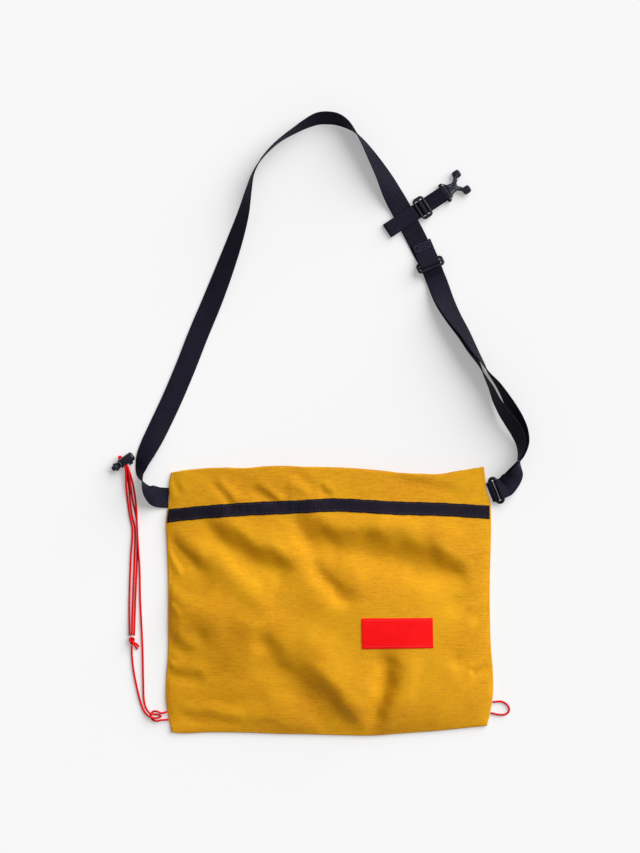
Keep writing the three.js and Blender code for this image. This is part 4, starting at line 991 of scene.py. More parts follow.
def buckleHalf(material):
    # a Y-shaped plate with bevelled edges, a slot and a bar for the webbing, and a groove along its stem
    side = buckleRows * np.array([fittings["buckleLong"], fittings["buckleWide"] / 2])
    outline = np.vstack([side, side[::-1] * np.array([1, -1])])
    outline = np.vstack([outline, outline[:1]])
    flatOutline = np.hstack([outline, np.zeros((len(outline), 1))])
    smooth = throughPoints(flatOutline, stepsPerPoint=5)[:-1, :2]
    half = fittings["buckleDeep"] / 2
    levels = [(deep - half, inset) for deep, inset in bevelRows]
    levels += [(-z, inset) for z, inset in levels[::-1]]
    after = np.roll(smooth, -1, axis=0)
    signedArea = np.sum(smooth[:, 0] * after[:, 1] - smooth[:, 1] * after[:, 0])
    smooth = smooth if signedArea > 0 else smooth[::-1]
    plate = outlineSolid("buckle_half_moulded", smooth, levels, material)
    slotHalf = webbing["stabiliserWide"] / 2 + fittings["slotPlay"]
    slotFar = barWrap + webbing["thick"] / 2 + webbing["gap"]
    tall, grooveHalf = fittings["buckleDeep"], fittings["grooveHalf"]
    grooveLow = (fittings["grooveFrom"], -grooveHalf, fittings["grooveFloor"])
    cutBy(plate, [
        plainBox((-20, -slotHalf, -tall), (slotFar, slotHalf, tall), material),
        plainBox(grooveLow, (fittings["grooveTo"], grooveHalf, tall), material),
    ])
    barHalf = slotHalf + fittings["buckleBarInto"]
    middle = lineAlongY(np.linspace(-barHalf, barHalf, 7))
    bar = profiledPiece("bar", middle, np.tile(rightward, (7, 1)), roundProfile(barReach, 20), material)
    whole = joinPieces([plate, bar], "buckle_half_moulded")
    origin = crossing + stabiliserAlong * buckleAt
    origin[2] = buckleHigh
    moveMesh(whole, origin, math.atan2(stabiliserAlong[1], stabiliserAlong[0]))
    return whole


lock = {
    "radius": 4.6, "wall": 0.8, "long": 16.1, "cap": 3.9, "nose": 2.5,
    "hole": 4.9, "holeToMouth": 4.0,
    "head": 5.6, "travel": 3.0, "running": 0.3, "stemPastHole": 2.4,
    "lug": (4.5, 1.8, 3.0),     # long, reach, high
    "lugInto": 0.2,             # how far its root goes into the wall
    "shoulder": 6.0,            # where the barrel's straight wall ends, from its far end
    "cutter": 12.0,             # the cord hole's cutter reaches this far to each side
    "middle": (-203.4, 136.4, 4.9), "turn": math.radians(34.5),
}
barrelRows = np.array([  # the barrel's wall from its mouth: how far inside the full radius, and along
    (0.3, 0), (0.08, 0.12), (0, 0.4), (0, 1.2), (0.35, 1.45), (0.35, 1.9), (0, 2.15),
])
buttonRows = np.array([  # the button from its tip: shares of the barrel's radius and of its own length
    (0, 0), (0.24, 0), (0.42, 0.023), (0.52, 0.086), (0.56, 0.17), (0.56, 0.41), (0.62, 0.46), (0.84, 0.515),
    (0.9, 0.56), (0.92, 0.64), (0.92, 0.94), (0.89, 0.985), (0.84, 1),
])


lugRows = np.array([(0.5, 1), (0.8, 0.97), (1, 0.82)])      # shares of the lug's reach, and its size there


def turnedBody(name, rows, material, sides=64):
    # rows of radius and place along x, turned round the x axis
    rows = np.array(rows, float)
    angle = np.arange(sides) * 2 * math.pi / sides
    points = np.stack([
        np.tile(rows[:, 1:], (1, sides)), rows[:, :1] * np.cos(angle), rows[:, :1] * np.sin(angle),
    ], -1)
    faces = quadGrid(len(rows), sides, wrapColumns=True)
    piece = addMesh(name, points, faces.tolist(), material, closed=False)
    shell = bmesh.new()
    shell.from_mesh(piece.data)
    bmesh.ops.remove_doubles(shell, verts=shell.verts, dist=1e-7)
    bmesh.ops.recalc_face_normals(shell, faces=shell.faces)
    shell.to_mesh(piece.data)
    shell.free()
    return piece


def crossHoleCutter(long, middle, material):
    # the cord hole: a soft square carried right across the lock
    path = lineAlongY(np.linspace(-lock["cutter"], lock["cutter"], 3), middle)
    section = softSquare(long, lock["hole"], sides=28, power=0.4)
    return profiledPiece("hole", path, np.tile(rightward, (3, 1)), section, material)


def lockBarrel(material):
    # a turned cup with a groove round its mouth and a rounded end, cut through for the cord, with a lug
    r, mouth = lock["radius"], -lock["holeToMouth"]
    cap = mouth + lock["long"]
    hole, boreEnd = r - lock["wall"], mouth + lock["long"] - lock["cap"]
    quarter = np.linspace(0, math.pi / 2, 8)
    noseRadius = lock["nose"]
    nose = np.array([r, cap]) - noseRadius * (1 - np.stack([np.cos(quarter), np.sin(quarter)], -1))
    wall = np.array([r, mouth]) + barrelRows * np.array([-1, 1])
    rows = [(hole, mouth), *wall.tolist(), (r, cap - lock["shoulder"]), *nose.tolist()]
    rows += [(0, cap), (0, boreEnd), (hole, boreEnd), (hole, mouth)]
    barrel = turnedBody("lock_barrel_moulded", rows, material)
    cutBy(barrel, [crossHoleCutter(lock["hole"], 0.0, material)])
    long, reach, high = lock["lug"]
    x = cap - lock["cap"] - long / 2
    path = lineAlongY(np.concatenate([[-hole - lock["lugInto"]], -r - reach * lugRows[:, 0]]), x)
    sizes = np.concatenate([[1], lugRows[:, 1]])
    section = softSquare(long, high, sides=24, power=0.4)
    lug = profiledPiece("lug", path, np.tile(rightward, (4, 1)), section, material, sizes)
    whole = joinPieces([barrel, lug], "lock_barrel_moulded")
    moveMesh(whole, lock["middle"], lock["turn"])
    return whole


def lockPlunger(material):
    # a turned button and stem, with a slot that leaves the cord its hole over the whole travel
    r, mouth = lock["radius"], -lock["holeToMouth"]
    stem = r - lock["wall"] - lock["running"]
    headEnd = mouth - lock["running"] - lock["travel"]
    tip = headEnd - lock["head"]
    stemEnd = lock["hole"] / 2 + lock["stemPastHole"]
    button = buttonRows * np.array([r, lock["head"]]) + np.array([0, tip])
    rows = [*button.tolist(), (stem, headEnd), (stem, stemEnd), (0, stemEnd)]
    plunger = turnedBody("lock_plunger_moulded", rows, material)
    slotLong = lock["hole"] + lock["travel"] + lock["running"]
    middle = (lock["hole"] + lock["running"] - slotLong) / 2
    cutBy(plunger, [crossHoleCutter(slotLong, middle, material)])
    moveMesh(plunger, lock["middle"], lock["turn"])
    return plunger


# the routes of the elastic cords, from where each leaves the knot or the seam
cord = {"radius": 1.0, "sides": 14, "stepsPerPoint": 7, "lean": (0.31, 0.17, 1.0)}
knotShape = {
    "middle": (-195.0, -39.2, 3.15), "reach": (0.72, 1.18, 1.75), "steps": 96, "sides": 12, "full": 1.05,
    "lean": (0.2, 0.1, 1.0),
    "tails": (
        ((-194.0, -42.0, 3.0), (-191.8, -44.6, 1.8), (-189.2, -48.0, 1.0)),
        ((-193.4, -41.0, 2.6), (-190.4, -42.9, 1.4), (-187.9, -45.6, 1.0)),
    ),
}
longRoute = [
    (-195.2, -44.35, 2.6), (-195.0, -54.0, 1.0), (-193.2, -70.0, 1.0), (-190.0, -86.0, 1.0),
    (-186.1, -101.5, 1.0), (-182.0, -110.4, 1.6), (-176.5, -114.6, 3.5), (-170.0, -115.6, 2.0),
    (-166.6, -113.8, 1.0), (-170.0, -111.9, 2.0), (-176.5, -111.2, 3.5), (-180.8, -106.4, 1.8),
    (-183.0, -99.0, 1.0), (-183.9, -78.0, 1.0), (-184.6, -46.0, 1.0), (-186.9, 2.0, 1.0),
    (-187.5, 32.0, 1.1), (-188.6, 50.0, 3.15), (-189.9, 76.0, 3.2), (-190.4, 88.0, 3.1),
    (-191.6, 100.0, 2.2), (-194.47, 116.44, 2.4), (-199.62, 132.93, 3.75), (-205.28, 141.17, 3.75),
    (-206.1, 141.83, 3.75), (-207.08, 141.76, 3.75), (-207.5, 140.86, 3.75), (-207.18, 139.87, 3.75),
    (-201.52, 131.63, 3.75), (-198.09, 112.86, 1.6), (-196.8, 98.0, 1.0), (-194.6, 82.0, 1.0),
    (-192.2, 72.0, 1.0), (-192.4, 44.0, 1.0), (-193.9, 4.0, 1.0), (-195.0, -34.1, 3.0),
]
shortRoute = [
    (-197.2, -34.4, 2.2), (-197.6, -6.0, 1.0), (-196.0, 44.0, 1.0), (-194.6, 70.0, 1.0),
    (-197.2, 84.0, 1.0), (-199.2, 98.0, 1.0), (-200.59, 112.86, 2.9), (-201.52, 131.63, 6.05),
    (-207.18, 139.87, 6.05), (-207.5, 140.86, 6.05), (-207.08, 141.76, 6.05), (-206.1, 141.83, 6.05),
    (-205.28, 141.17, 6.05), (-199.62, 132.93, 6.05), (-196.29, 112.86, 3.7), (-194.2, 98.0, 1.2),
    (-191.0, 84.0, 1.0), (-189.7, 70.0, 1.0), (-189.9, 44.0, 1.0), (-191.5, 4.0, 1.0),
    (-192.8, -34.4, 2.2),
]
leftRoute = [
    (-160.4, -109.4, 1.4), (-166.0, -110.6, 3.3), (-170.5, -108.8, 3.2), (-174.4, -109.4, 1.0),
    (-176.6, -113.0, 1.0), (-174.8, -117.0, 1.0), (-170.5, -118.4, 3.0), (-166.0, -117.4, 3.3),
    (-158.95, -117.2, 1.4),
]
rightRoute = [
    (160.0, -99.8, 1.4), (168.2, -99.4, 1.0), (173.0, -101.4, 1.0), (176.2, -105.6, 1.0),
    (176.0, -109.2, 1.0), (172.6, -112.0, 1.0), (167.0, -112.4, 1.0), (158.1, -110.6, 1.4),
]


def cordTube(name, route, material):
    # a round section carried along the route; the leaning direction is never along the cord
    path = throughPoints(route, cord["stepsPerPoint"])
    level = np.tile(np.array(cord["lean"]), (len(path), 1))
    piece = profiledPiece(name, path, level, roundProfile(cord["radius"], cord["sides"]), material)
    return piece, path * mm


def knotPiece(material):
    # a trefoil for the pulled knot: (sin t + 2 sin 2t, cos t - 2 cos 2t, -sin 3t) times its reach, and
    # the two cut tails below it
    radius, sides = cord["radius"], knotShape["sides"]
    t = np.arange(knotShape["steps"]) * 2 * math.pi / knotShape["steps"]
    trefoil = np.stack([np.sin(t) + 2 * np.sin(2 * t), np.cos(t) - 2 * np.cos(2 * t), -np.sin(3 * t)], -1)
    path = np.array(knotShape["middle"]) + trefoil * np.array(knotShape["reach"])
    leaning = np.array(knotShape["lean"])
    section = roundProfile(radius * knotShape["full"], sides)
    parts = [profiledPiece("loop", path, np.tile(leaning, (len(t), 1)), section, material, loop=True)]
    for ends in knotShape["tails"]:
        tail = throughPoints(ends, stepsPerPoint=6)
        level = np.tile(leaning, (len(tail), 1))
        sizes = np.concatenate([np.ones(len(tail) - 2), [0.96, 0.7]])
        parts.append(profiledPiece("tail", tail, level, roundProfile(radius, sides), material, sizes))
    return joinPieces(parts, "elastic_knot")


def newGroup(name, inputs, outputs):
    # a shader node group with its named inputs (name, kind, value) and number outputs
    group = bpy.data.node_groups.new(name, "ShaderNodeTree")
    for socketName, kind, value in inputs:
        socket = group.interface.new_socket(name=socketName, in_out="INPUT", socket_type=kind)
        if value is not None:
            socket.default_value = value
    for socketName in outputs:
        group.interface.new_socket(name=socketName, in_out="OUTPUT", socket_type="NodeSocketFloat")
    return group, group.nodes.new("NodeGroupInput"), group.nodes.new("NodeGroupOutput")


def joined(tree, source, target):
    # a link from an output to an input
    tree.links.new(source, target)


def mathStep(tree, operation, first, second=None, third=None):
    # one maths node; numbers set its sockets and the rest is joined to them
    step = tree.nodes.new("ShaderNodeMath")
    step.operation = operation
    for socket, value in zip(step.inputs, (first, second, third)):
        if value is None:
            continue
        if isinstance(value, (int, float)):
            socket.default_value = value
        else:
            joined(tree, value, socket)
    return step.outputs[0]


def noiseStep(tree, vector, scale, detail=2.0, rough=0.5):
    # smooth noise from 0 to 1, as many cells a metre as the scale says
    noise = tree.nodes.new("ShaderNodeTexNoise")
    noise.inputs["Scale"].default_value = scale
    noise.inputs["Detail"].default_value = detail
    noise.inputs["Roughness"].default_value = rough
    joined(tree, vector, noise.inputs["Vector"])
    return noise.outputs["Fac"]


def stretched(tree, vector, scale):
    # the same places, counted in finer steps along some directions
    mapping = tree.nodes.new("ShaderNodeMapping")
    mapping.inputs["Scale"].default_value = scale
    joined(tree, vector, mapping.inputs["Vector"])
    return mapping.outputs["Vector"]


effects = {
    "gapsBelow": 0.22,
    "yarnCoarse": (75, 640, 1), "yarnFine": (240, 1500, 1),     # cells a metre along x, y and z
    "dustSize": 700.0, "dustAbove": 0.68,
    "scuffLines": (300, 2200, 900), "scuffsAbove": 0.66,
}


def weaveGroup():
    # crossed threads: the product of two sine waves, or slanting ridges where Slant is 1
    group, start, end = newGroup(
        "crossed threads",
        [("Vector", "NodeSocketVector", None), ("Threads across", "NodeSocketFloat", 2000.0),
         ("Threads along", "NodeSocketFloat", 2000.0), ("Slant", "NodeSocketFloat", 0.0)],
        ["Height", "Gaps"],
    )
    split = group.nodes.new("ShaderNodeSeparateXYZ")
    joined(group, start.outputs["Vector"], split.inputs[0])
    across = mathStep(group, "MULTIPLY", split.outputs["X"], start.outputs["Threads across"])
    along = mathStep(group, "MULTIPLY", split.outputs["Y"], start.outputs["Threads along"])
    plain = mathStep(group, "MULTIPLY", mathStep(group, "SINE", across), mathStep(group, "SINE", along))
    slanted = mathStep(group, "SINE", mathStep(group, "ADD", mathStep(group, "ABSOLUTE", across), along))
    other = mathStep(group, "SUBTRACT", 1.0, start.outputs["Slant"])
    mixed = mathStep(
        group, "ADD", mathStep(group, "MULTIPLY", plain, other),
        mathStep(group, "MULTIPLY", slanted, start.outputs["Slant"]),
    )
    height = mathStep(group, "MULTIPLY_ADD", mixed, 0.5, 0.5)
    joined(group, height, end.inputs["Height"])
    joined(group, mathStep(group, "LESS_THAN", height, effects["gapsBelow"]), end.inputs["Gaps"])
    return group


def slubGroup():
    # uneven yarn: noise drawn out along one direction, in a coarse and a fine size
    group, start, end = newGroup("uneven yarn", [("Vector", "NodeSocketVector", None)], ["Streak"])
    coarse = noiseStep(group, stretched(group, start.outputs["Vector"], effects["yarnCoarse"]), 1.0, 3.0, 0.6)
    fine = noiseStep(group, stretched(group, start.outputs["Vector"], effects["yarnFine"]), 1.0, 2.0, 0.6)
    halfCoarse, halfFine = mathStep(group, "MULTIPLY", coarse, 0.5), mathStep(group, "MULTIPLY", fine, 0.5)
    joined(group, mathStep(group, "ADD", halfCoarse, halfFine), end.inputs["Streak"])
    return group


def driftGroup():
    # slow change of shade and a little dust
    group, start, end = newGroup(
        "shade drift and dust",
        [("Vector", "NodeSocketVector", None), ("Patch size", "NodeSocketFloat", 18.0)], ["Drift", "Dust"],
    )
    slow = group.nodes.new("ShaderNodeTexNoise")
    slow.inputs["Detail"].default_value = 3.0
    joined(group, start.outputs["Vector"], slow.inputs["Vector"])
    joined(group, start.outputs["Patch size"], slow.inputs["Scale"])
    joined(group, slow.outputs["Fac"], end.inputs["Drift"])
    speck = noiseStep(group, start.outputs["Vector"], effects["dustSize"], 2.0)
    joined(group, mathStep(group, "GREATER_THAN", speck, effects["dustAbove"]), end.inputs["Dust"])
    return group


def grainGroup():
    # the fine grain of moulded plastic and long faint scratches
    group, start, end = newGroup(
        "moulded grain and scuffs",
        [("Vector", "NodeSocketVector", None), ("Grain size", "NodeSocketFloat", 2600.0)], ["Grain", "Scuff"],
    )
    grain = group.nodes.new("ShaderNodeTexNoise")
    grain.inputs["Detail"].default_value = 2.0
    joined(group, start.outputs["Vector"], grain.inputs["Vector"])
    joined(group, start.outputs["Grain size"], grain.inputs["Scale"])
    joined(group, grain.outputs["Fac"], end.inputs["Grain"])
    lines = noiseStep(group, stretched(group, start.outputs["Vector"], effects["scuffLines"]), 1.0, 2.0, 0.7)
    joined(group, mathStep(group, "GREATER_THAN", lines, effects["scuffsAbove"]), end.inputs["Scuff"])
    return group


groups = {"weave": weaveGroup(), "slub": slubGroup(), "drift": driftGroup(), "grain": grainGroup()}


def newMaterial(name, rough, values=None):
    # the shader node's roughness, and its other inputs by name
    material = bpy.data.materials.new(name)
    material.use_nodes = True
    tree = material.node_tree
    shader = next(node for node in tree.nodes if node.type == "BSDF_PRINCIPLED")
    shader.inputs["Roughness"].default_value = rough
    for socketName, value in (values or {}).items():
        shader.inputs[socketName].default_value = value
    return material, tree, shader


def groupNode(tree, name, vector, values=None):
    # a shared effect at the given places, with some of its inputs set by name
    node = tree.nodes.new("ShaderNodeGroup")
    node.node_tree = groups[name]
    joined(tree, vector, node.inputs["Vector"])
    for socketName, value in (values or {}).items():
        node.inputs[socketName].default_value = value
    return node.outputs


def weaveNode(tree, vector, look):
    # the crossed threads with a finish's own thread counts
    threadsAcross, threadsAlong = look["threads"]
    values = {"Threads across": threadsAcross, "Threads along": threadsAlong, "Slant": look["slant"]}
    return groupNode(tree, "weave", vector, values)


def shades(tree, fac, stops):
    # a ramp through the colours at their places
    ramp = tree.nodes.new("ShaderNodeValToRGB")
    band = ramp.color_ramp
    stops = list(stops)
    while len(band.elements) < len(stops):
        band.elements.new(0.5)
    for element, (place, colour) in zip(band.elements, stops):
        element.position = place
        element.color = (*colour, 1)
    joined(tree, fac, ramp.inputs["Fac"])
    return ramp.outputs["Color"]


def darkened(tree, colour, fac, amount, by=(0, 0, 0)):
    # towards another colour by a mask times an amount
    mix = tree.nodes.new("ShaderNodeMix")
    mix.data_type = "RGBA"
    joined(tree, mathStep(tree, "MULTIPLY", fac, amount), mix.inputs["Factor"])
    joined(tree, colour, mix.inputs["A"])
    mix.inputs["B"].default_value = (*by, 1)
    return mix.outputs["Result"]


def bumped(tree, shader, height, distance, strength=1.0):
    # height in the distance of millimetres, turned into the surface's normal
    bump = tree.nodes.new("ShaderNodeBump")
    bump.inputs["Strength"].default_value = strength
    bump.inputs["Distance"].default_value = distance * mm
    joined(tree, height, bump.inputs["Height"])
    joined(tree, bump.outputs["Normal"], shader.inputs["Normal"])


def laidOut(tree):
    # places in metres along the cloth, from the piece's own UV map
    return tree.nodes.new("ShaderNodeTexCoord").outputs["UV"]


def inPlace(tree):
    # places in metres in the object itself
    return tree.nodes.new("ShaderNodeTexCoord").outputs["Object"]


clothLook = {
    "light": (0.80, 0.41, 0.003), "mid": (0.71, 0.315, 0.002), "dark": (0.55, 0.195, 0.002),
    "dust": (0.9, 0.7, 0.4), "patches": 14.0, "threads": (9000.0, 11000.0), "slant": 0.0,
    "stops": (0.40, 0.56, 0.74), "byYarn": 0.8, "byDrift": 0.35,
    "gapShade": 0.10, "dustShade": 0.10, "yarnHeight": 1.6,
    "rough": 0.55, "gloss": 0.15, "bump": 0.16,
    "sheen": 0.03, "sheenRough": 0.4, "sheenTint": (1.0, 0.8, 0.4),
}
webLook = {
    "navy": (0.026, 0.020, 0.034), "black": (0.0025, 0.002, 0.004), "edge": (0.06, 0.055, 0.11),
    "dust": (0.2, 0.2, 0.25), "patches": 60.0, "threads": (4200.0, 3600.0), "slant": 1.0,
    "stops": (0.1, 0.7, 1.0), "driftShade": 0.35, "yarnShade": 0.75, "dustShade": 0.12,
    # the share of painted shade that darkens the webbing and the tape where they are seen at a slant
    "slantPaintedShade": 0.85, "yarnHeight": 0.4,
    "rough": 0.6, "gloss": 0.05, "bump": 0.16,
    "sheen": 0.04, "sheenRough": 0.4, "sheenTint": (0.10, 0.17, 1.0),
}
tapeLook = {**webLook, "threads": (1400.0, 5200.0), "slant": 0.0}
redShades = {"stops": (0.2, 0.75), "byWeave": 0.6, "byDrift": 0.5}
labelLook = {
    **redShades,
    "dark": (0.78, 0.0, 0.001), "light": (0.95, 0.001, 0.003), "patches": 45.0,
    "threads": (8000.0, 12000.0), "slant": 0.0, "rough": 0.55, "gloss": 0.12, "sheen": 0.02, "bump": 0.08,
}
elasticLook = {
    **redShades,
    "dark": (0.42, 0.0, 0.002), "light": (0.85, 0.006, 0.010), "patches": 45.0,
    "threads": (4000.0, 4200.0), "slant": 1.0, "rough": 0.6, "gloss": 0.12, "sheen": 0.02, "bump": 0.18,
}
plasticLook = {
    "dark": (0.006, 0.007, 0.012), "light": (0.014, 0.016, 0.026), "scuff": (0.03, 0.034, 0.05),
    "stops": (0.3, 0.7), "scuffShade": 0.25, "patches": 120.0,
    "rough": 0.34, "roughFrom": 0.2, "roughBy": 0.22, "gloss": 0.32, "bump": 0.03,
}
threadLook = {"rough": 0.5, "sheen": 0.2, "grain": 3500.0, "shade": 0.6, "stops": (0.3, 0.7), "bump": 0.05}


def wovenMaterial(name, look):
    # roughness, gloss and sheen from the finish's own values
    values = {"Sheen Weight": look["sheen"], "Specular IOR Level": look["gloss"]}
    if "sheenTint" in look:
        values["Sheen Roughness"] = look["sheenRough"]
        values["Sheen Tint"] = (*look["sheenTint"], 1)
    return newMaterial(name, look["rough"], values)


def mustardCloth():
    # three shades along the uneven yarn and the slow drift, darker in the gaps of the weave
    look = clothLook
    material, tree, shader = wovenMaterial("mustard canvas", look)
    where = laidOut(tree)
    yarn = groupNode(tree, "slub", where)
    drift = groupNode(tree, "drift", where, {"Patch size": look["patches"]})
    weave = weaveNode(tree, where, look)
    level = mathStep(tree, "ADD", mathStep(tree, "MULTIPLY", yarn["Streak"], look["byYarn"]),
                     mathStep(tree, "MULTIPLY", drift["Drift"], look["byDrift"]))
    colour = shades(tree, level, zip(look["stops"], (look["dark"], look["mid"], look["light"])))
    colour = darkened(tree, colour, weave["Gaps"], look["gapShade"])
    colour = darkened(tree, colour, drift["Dust"], look["dustShade"], look["dust"])
    joined(tree, colour, shader.inputs["Base Color"])
    yarnHeight = mathStep(tree, "MULTIPLY", yarn["Streak"], look["yarnHeight"])
    height = mathStep(tree, "ADD", weave["Height"], yarnHeight)
    bumped(tree, shader, height, look["bump"])
    return material


def navyWebbing(name, look):
    # dark between the threads, navy on them, and a paler crest, with painted shade that darkens it where it
    # is seen at a slant
    material, tree, shader = wovenMaterial(name, look)
    where = laidOut(tree)
    weave = weaveNode(tree, where, look)
    drift = groupNode(tree, "drift", where, {"Patch size": look["patches"]})
    yarn = groupNode(tree, "slub", where)
    colour = shades(tree, weave["Height"], zip(look["stops"], (look["black"], look["navy"], look["edge"])))
    colour = darkened(tree, colour, drift["Drift"], look["driftShade"])
    colour = darkened(tree, colour, yarn["Streak"], look["yarnShade"])
    colour = darkened(tree, colour, drift["Dust"], look["dustShade"], look["dust"])
    # painted shade: the colour is darkened towards black where the webbing is seen at a slant
    facing = tree.nodes.new("ShaderNodeLayerWeight").outputs["Facing"]
    colour = darkened(tree, colour, facing, look["slantPaintedShade"])
    joined(tree, colour, shader.inputs["Base Color"])
    yarnHeight = mathStep(tree, "MULTIPLY", yarn["Streak"], look["yarnHeight"])
    height = mathStep(tree, "ADD", weave["Height"], yarnHeight)
    bumped(tree, shader, height, look["bump"])
    return material


def redWoven(name, look):
    # two reds over the threads and the slow drift
    material, tree, shader = wovenMaterial(name, look)
    where = laidOut(tree)
    weave = weaveNode(tree, where, look)
    drift = groupNode(tree, "drift", where, {"Patch size": look["patches"]})
    level = mathStep(tree, "ADD", mathStep(tree, "MULTIPLY", weave["Height"], look["byWeave"]),
                     mathStep(tree, "MULTIPLY", drift["Drift"], look["byDrift"]))
    colour = shades(tree, level, zip(look["stops"], (look["dark"], look["light"])))
    joined(tree, colour, shader.inputs["Base Color"])
    bumped(tree, shader, weave["Height"], look["bump"])
    return material


def mouldedPlastic():
    # near black with a fine grain in its gloss, and pale scuffs
    look = plasticLook
    gloss = {"Specular IOR Level": look["gloss"]}
    material, tree, shader = newMaterial("navy black plastic", look["rough"], gloss)
    where = inPlace(tree)
    grain = groupNode(tree, "grain", where)
    drift = groupNode(tree, "drift", where, {"Patch size": look["patches"]})
    colour = shades(tree, drift["Drift"], zip(look["stops"], (look["dark"], look["light"])))
    colour = darkened(tree, colour, grain["Scuff"], look["scuffShade"], look["scuff"])
    joined(tree, colour, shader.inputs["Base Color"])
    rough = mathStep(tree, "MULTIPLY_ADD", grain["Grain"], look["roughBy"], look["roughFrom"])
    joined(tree, rough, shader.inputs["Roughness"])
    bumped(tree, shader, grain["Grain"], look["bump"])
    return material


def threadMaterial(name, colour):
    # the thread's colour, darker in the grain
    look = threadLook
    material, tree, shader = newMaterial(name, look["rough"], {"Sheen Weight": look["sheen"]})
    grain = groupNode(tree, "grain", inPlace(tree), {"Grain size": look["grain"]})
    darker = tuple(look["shade"] * part for part in colour)
    stops = zip(look["stops"], (darker, colour))
    joined(tree, shades(tree, grain["Grain"], stops), shader.inputs["Base Color"])
    bumped(tree, shader, grain["Grain"], look["bump"])
    return material


materials = {
    "cloth": mustardCloth(),
    "tape": navyWebbing("navy ribbed tape", tapeLook),
    "label": redWoven("red satin label", labelLook),
    "webbing": navyWebbing("navy black webbing", webLook),
    "plastic": mouldedPlastic(),
    "elastic": redWoven("red braided elastic", elasticLook),
    "darkThread": threadMaterial("navy thread", (0.016, 0.015, 0.027)),
    "navyThread": threadMaterial("blue navy thread", (0.035, 0.035, 0.085)),
    "redThread": threadMaterial("red thread", (0.95, 0.10, 0.11)),
}
print("the materials are mixed")


def belongs(piece, slotName, *nodes, body="bag"):
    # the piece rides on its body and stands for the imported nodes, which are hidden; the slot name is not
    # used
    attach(piece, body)
    if nodes:
        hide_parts(*nodes)
    return piece


knot = belongs(knotPiece(materials["elastic"]), "elastic", "cord_knot")
barrel = belongs(lockBarrel(materials["plastic"]), "plastic", "cord_lock_barrel")
plunger = belongs(lockPlunger(materials["plastic"]), "plastic", "cord_lock_plunger", body="lock_plunger")
cordRuns = [
    ("lock_cord_long", longRoute, "knot", 0.528, [knot, barrel, plunger]),
    ("lock_cord_short", shortRoute, "knot", 0.352, []),
    ("seam_cord_left", leftRoute, "object", 0.041, []),
    ("seam_cord_right", rightRoute, "object", 0.039, []),
]
for node, route, farEnd, long, withPieces in cordRuns:
    tube, middle = cordTube(node + "_elastic", route, materials["elastic"])
    belongs(tube, "elastic", node)
print("the cords are laid")

front = belongs(frontPanel(materials["cloth"]), "cloth", "bag_front")
back = belongs(backPanel(materials["cloth"]), "cloth", "bag_back")
tapePiece = sewnOn("opening_tape_ribbon", materials["tape"], tape, tapeToPanel, tapeRipple)
belongs(tapePiece, "tape", "opening_tape")
labelPiece = sewnOn("label_satin", materials["label"], label, labelToPanel, labelRipple)
belongs(labelPiece, "label", "label")
stitchRows = [
    ("tape_stitches_", tape, tapeToPanel, "darkThread", "tape"),
    ("label_stitches_", label, labelToPanel, "redThread", "label"),
]
for rowName, sizes, toPanel, thread, slotName in stitchRows:
    along = np.linspace(*sizes["stitchSpan"])
    for letter, depth in zip("ab", sizes["stitchLines"]):
        line = (along, np.full(len(along), depth))
        belongs(stitchesOnPanel(rowName + letter, toPanel, line, sizes, materials[thread]), slotName)
print("the pouch is sewn")

belongs(shoulderStrap(materials["webbing"]), "webbing", "shoulder_strap")
# the strap's end is sewn down with a crossed box, beyond the slider
crossedBox = {"from": -22.4, "to": -16.4, "half": 8.2, "stitch": 1.7, "stitchGap": 0.7, "stitchWide": 0.55}
tailAside = np.cross(upright, sliderAlong)
tailTop = sliderPoint * np.array([1, 1, 0]) + upright * (webbing["thick"] + layerPitch)
boxShares = [(crossedBox["from"], -crossedBox["half"]), (crossedBox["from"], crossedBox["half"]),
             (crossedBox["to"], crossedBox["half"]), (crossedBox["to"], -crossedBox["half"])]
boxCorners = np.array([tailTop + sliderAlong * s + tailAside * t for s, t in boxShares])
boxLines = [(0, 1), (3, 2), (0, 2), (1, 3), (1, 2), (0, 3)]
boxRuns = [stitchRun("box_line", boxCorners[list(line)], materials["navyThread"], crossedBox)
           for line in boxLines]
belongs(joinPieces(boxRuns, "strap_end_stitches"), "webbing")
belongs(ringTab(materials["webbing"]), "webbing", "ring_tab")
belongs(stabiliserStrap(materials["webbing"]), "webbing", "stabiliser_strap")
belongs(
    triGlide("strap_slider_moulded", webbing["strapWide"], np.array([*sliderPoint[:2], sliderHigh]),
             math.atan2(sliderAlong[1], sliderAlong[0]), fittings["sliderTilt"], materials["plastic"]),
    "plastic", "strap_slider")
glideMiddle = crossing + stabiliserAlong * glideAt
glideMiddle[2] = glideHigh
belongs(
    triGlide("stabiliser_slider_moulded", webbing["stabiliserWide"], glideMiddle,
             math.atan2(stabiliserAlong[1], stabiliserAlong[0]), 0.0, materials["plastic"]),
    "plastic", "stabiliser_slider")
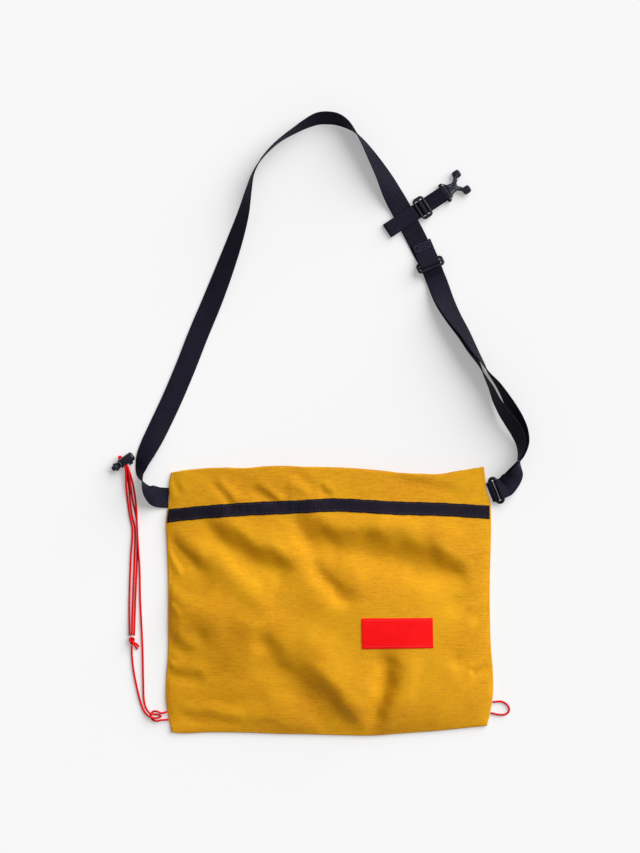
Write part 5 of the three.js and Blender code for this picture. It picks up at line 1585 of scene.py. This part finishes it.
belongs(ringPiece(materials["plastic"]), "plastic", "strap_ring")
belongs(buckleHalf(materials["plastic"]), "plastic", "buckle_half")
print("the straps and their fittings are on")

# a pale paper floor, one broad soft light and an even room
studio = {
    "sun": 4.8, "sunColour": (0.985, 1.0, 1.0), "sunAngle": 62.0, "sunHigh": 32.0, "sunTurn": 42.0,
    "world": 0.275, "worldColour": (1.0, 0.955, 0.95),
    "floorHalf": 3000.0, "floorHigh": -0.3, "floorTones": (0.60, 0.612), "floorRough": 0.9,
    "floorPatches": 3.0, "floorStops": (0.2, 0.8),
    "floorGlow": 0.28,      # a lit paper table
}
corners = np.array([(-1, -1, 0), (1, -1, 0), (1, 1, 0), (-1, 1, 0)], float) * studio["floorHalf"]
corners[:, 2] = studio["floorHigh"]
floorMaterial, floorTree, floorShader = newMaterial("pale paper", studio["floorRough"])
floorTone = groupNode(floorTree, "drift", inPlace(floorTree), {"Patch size": studio["floorPatches"]})
floorGreys = [(tone,) * 3 for tone in studio["floorTones"]]
floorColour = shades(floorTree, floorTone["Drift"], zip(studio["floorStops"], floorGreys))
joined(floorTree, floorColour, floorShader.inputs["Base Color"])
floorShader.inputs["Emission Color"].default_value = (1, 1, 1, 1)
floorShader.inputs["Emission Strength"].default_value = studio["floorGlow"]
floor = addMesh("floor", corners, [[0, 1, 2, 3]], floorMaterial, closed=False)

world = bpy.data.worlds.new("soft room")
world.use_nodes = True
background = world.node_tree.nodes["Background"]
background.inputs["Color"].default_value = (*studio["worldColour"], 1)
background.inputs["Strength"].default_value = studio["world"]
bpy.context.scene.world = world
sunData = bpy.data.lights.new("soft key", "SUN")
sunData.energy = studio["sun"]
sunData.color = studio["sunColour"]
sunData.angle = math.radians(studio["sunAngle"])
sun = bpy.data.objects.new("soft key", sunData)
sun.rotation_euler = (0, math.radians(90 - studio["sunHigh"]), math.radians(studio["sunTurn"]))
bpy.context.scene.collection.objects.link(sun)
bpy.context.scene.view_settings.view_transform = "Standard"
print("the floor and the light are set")
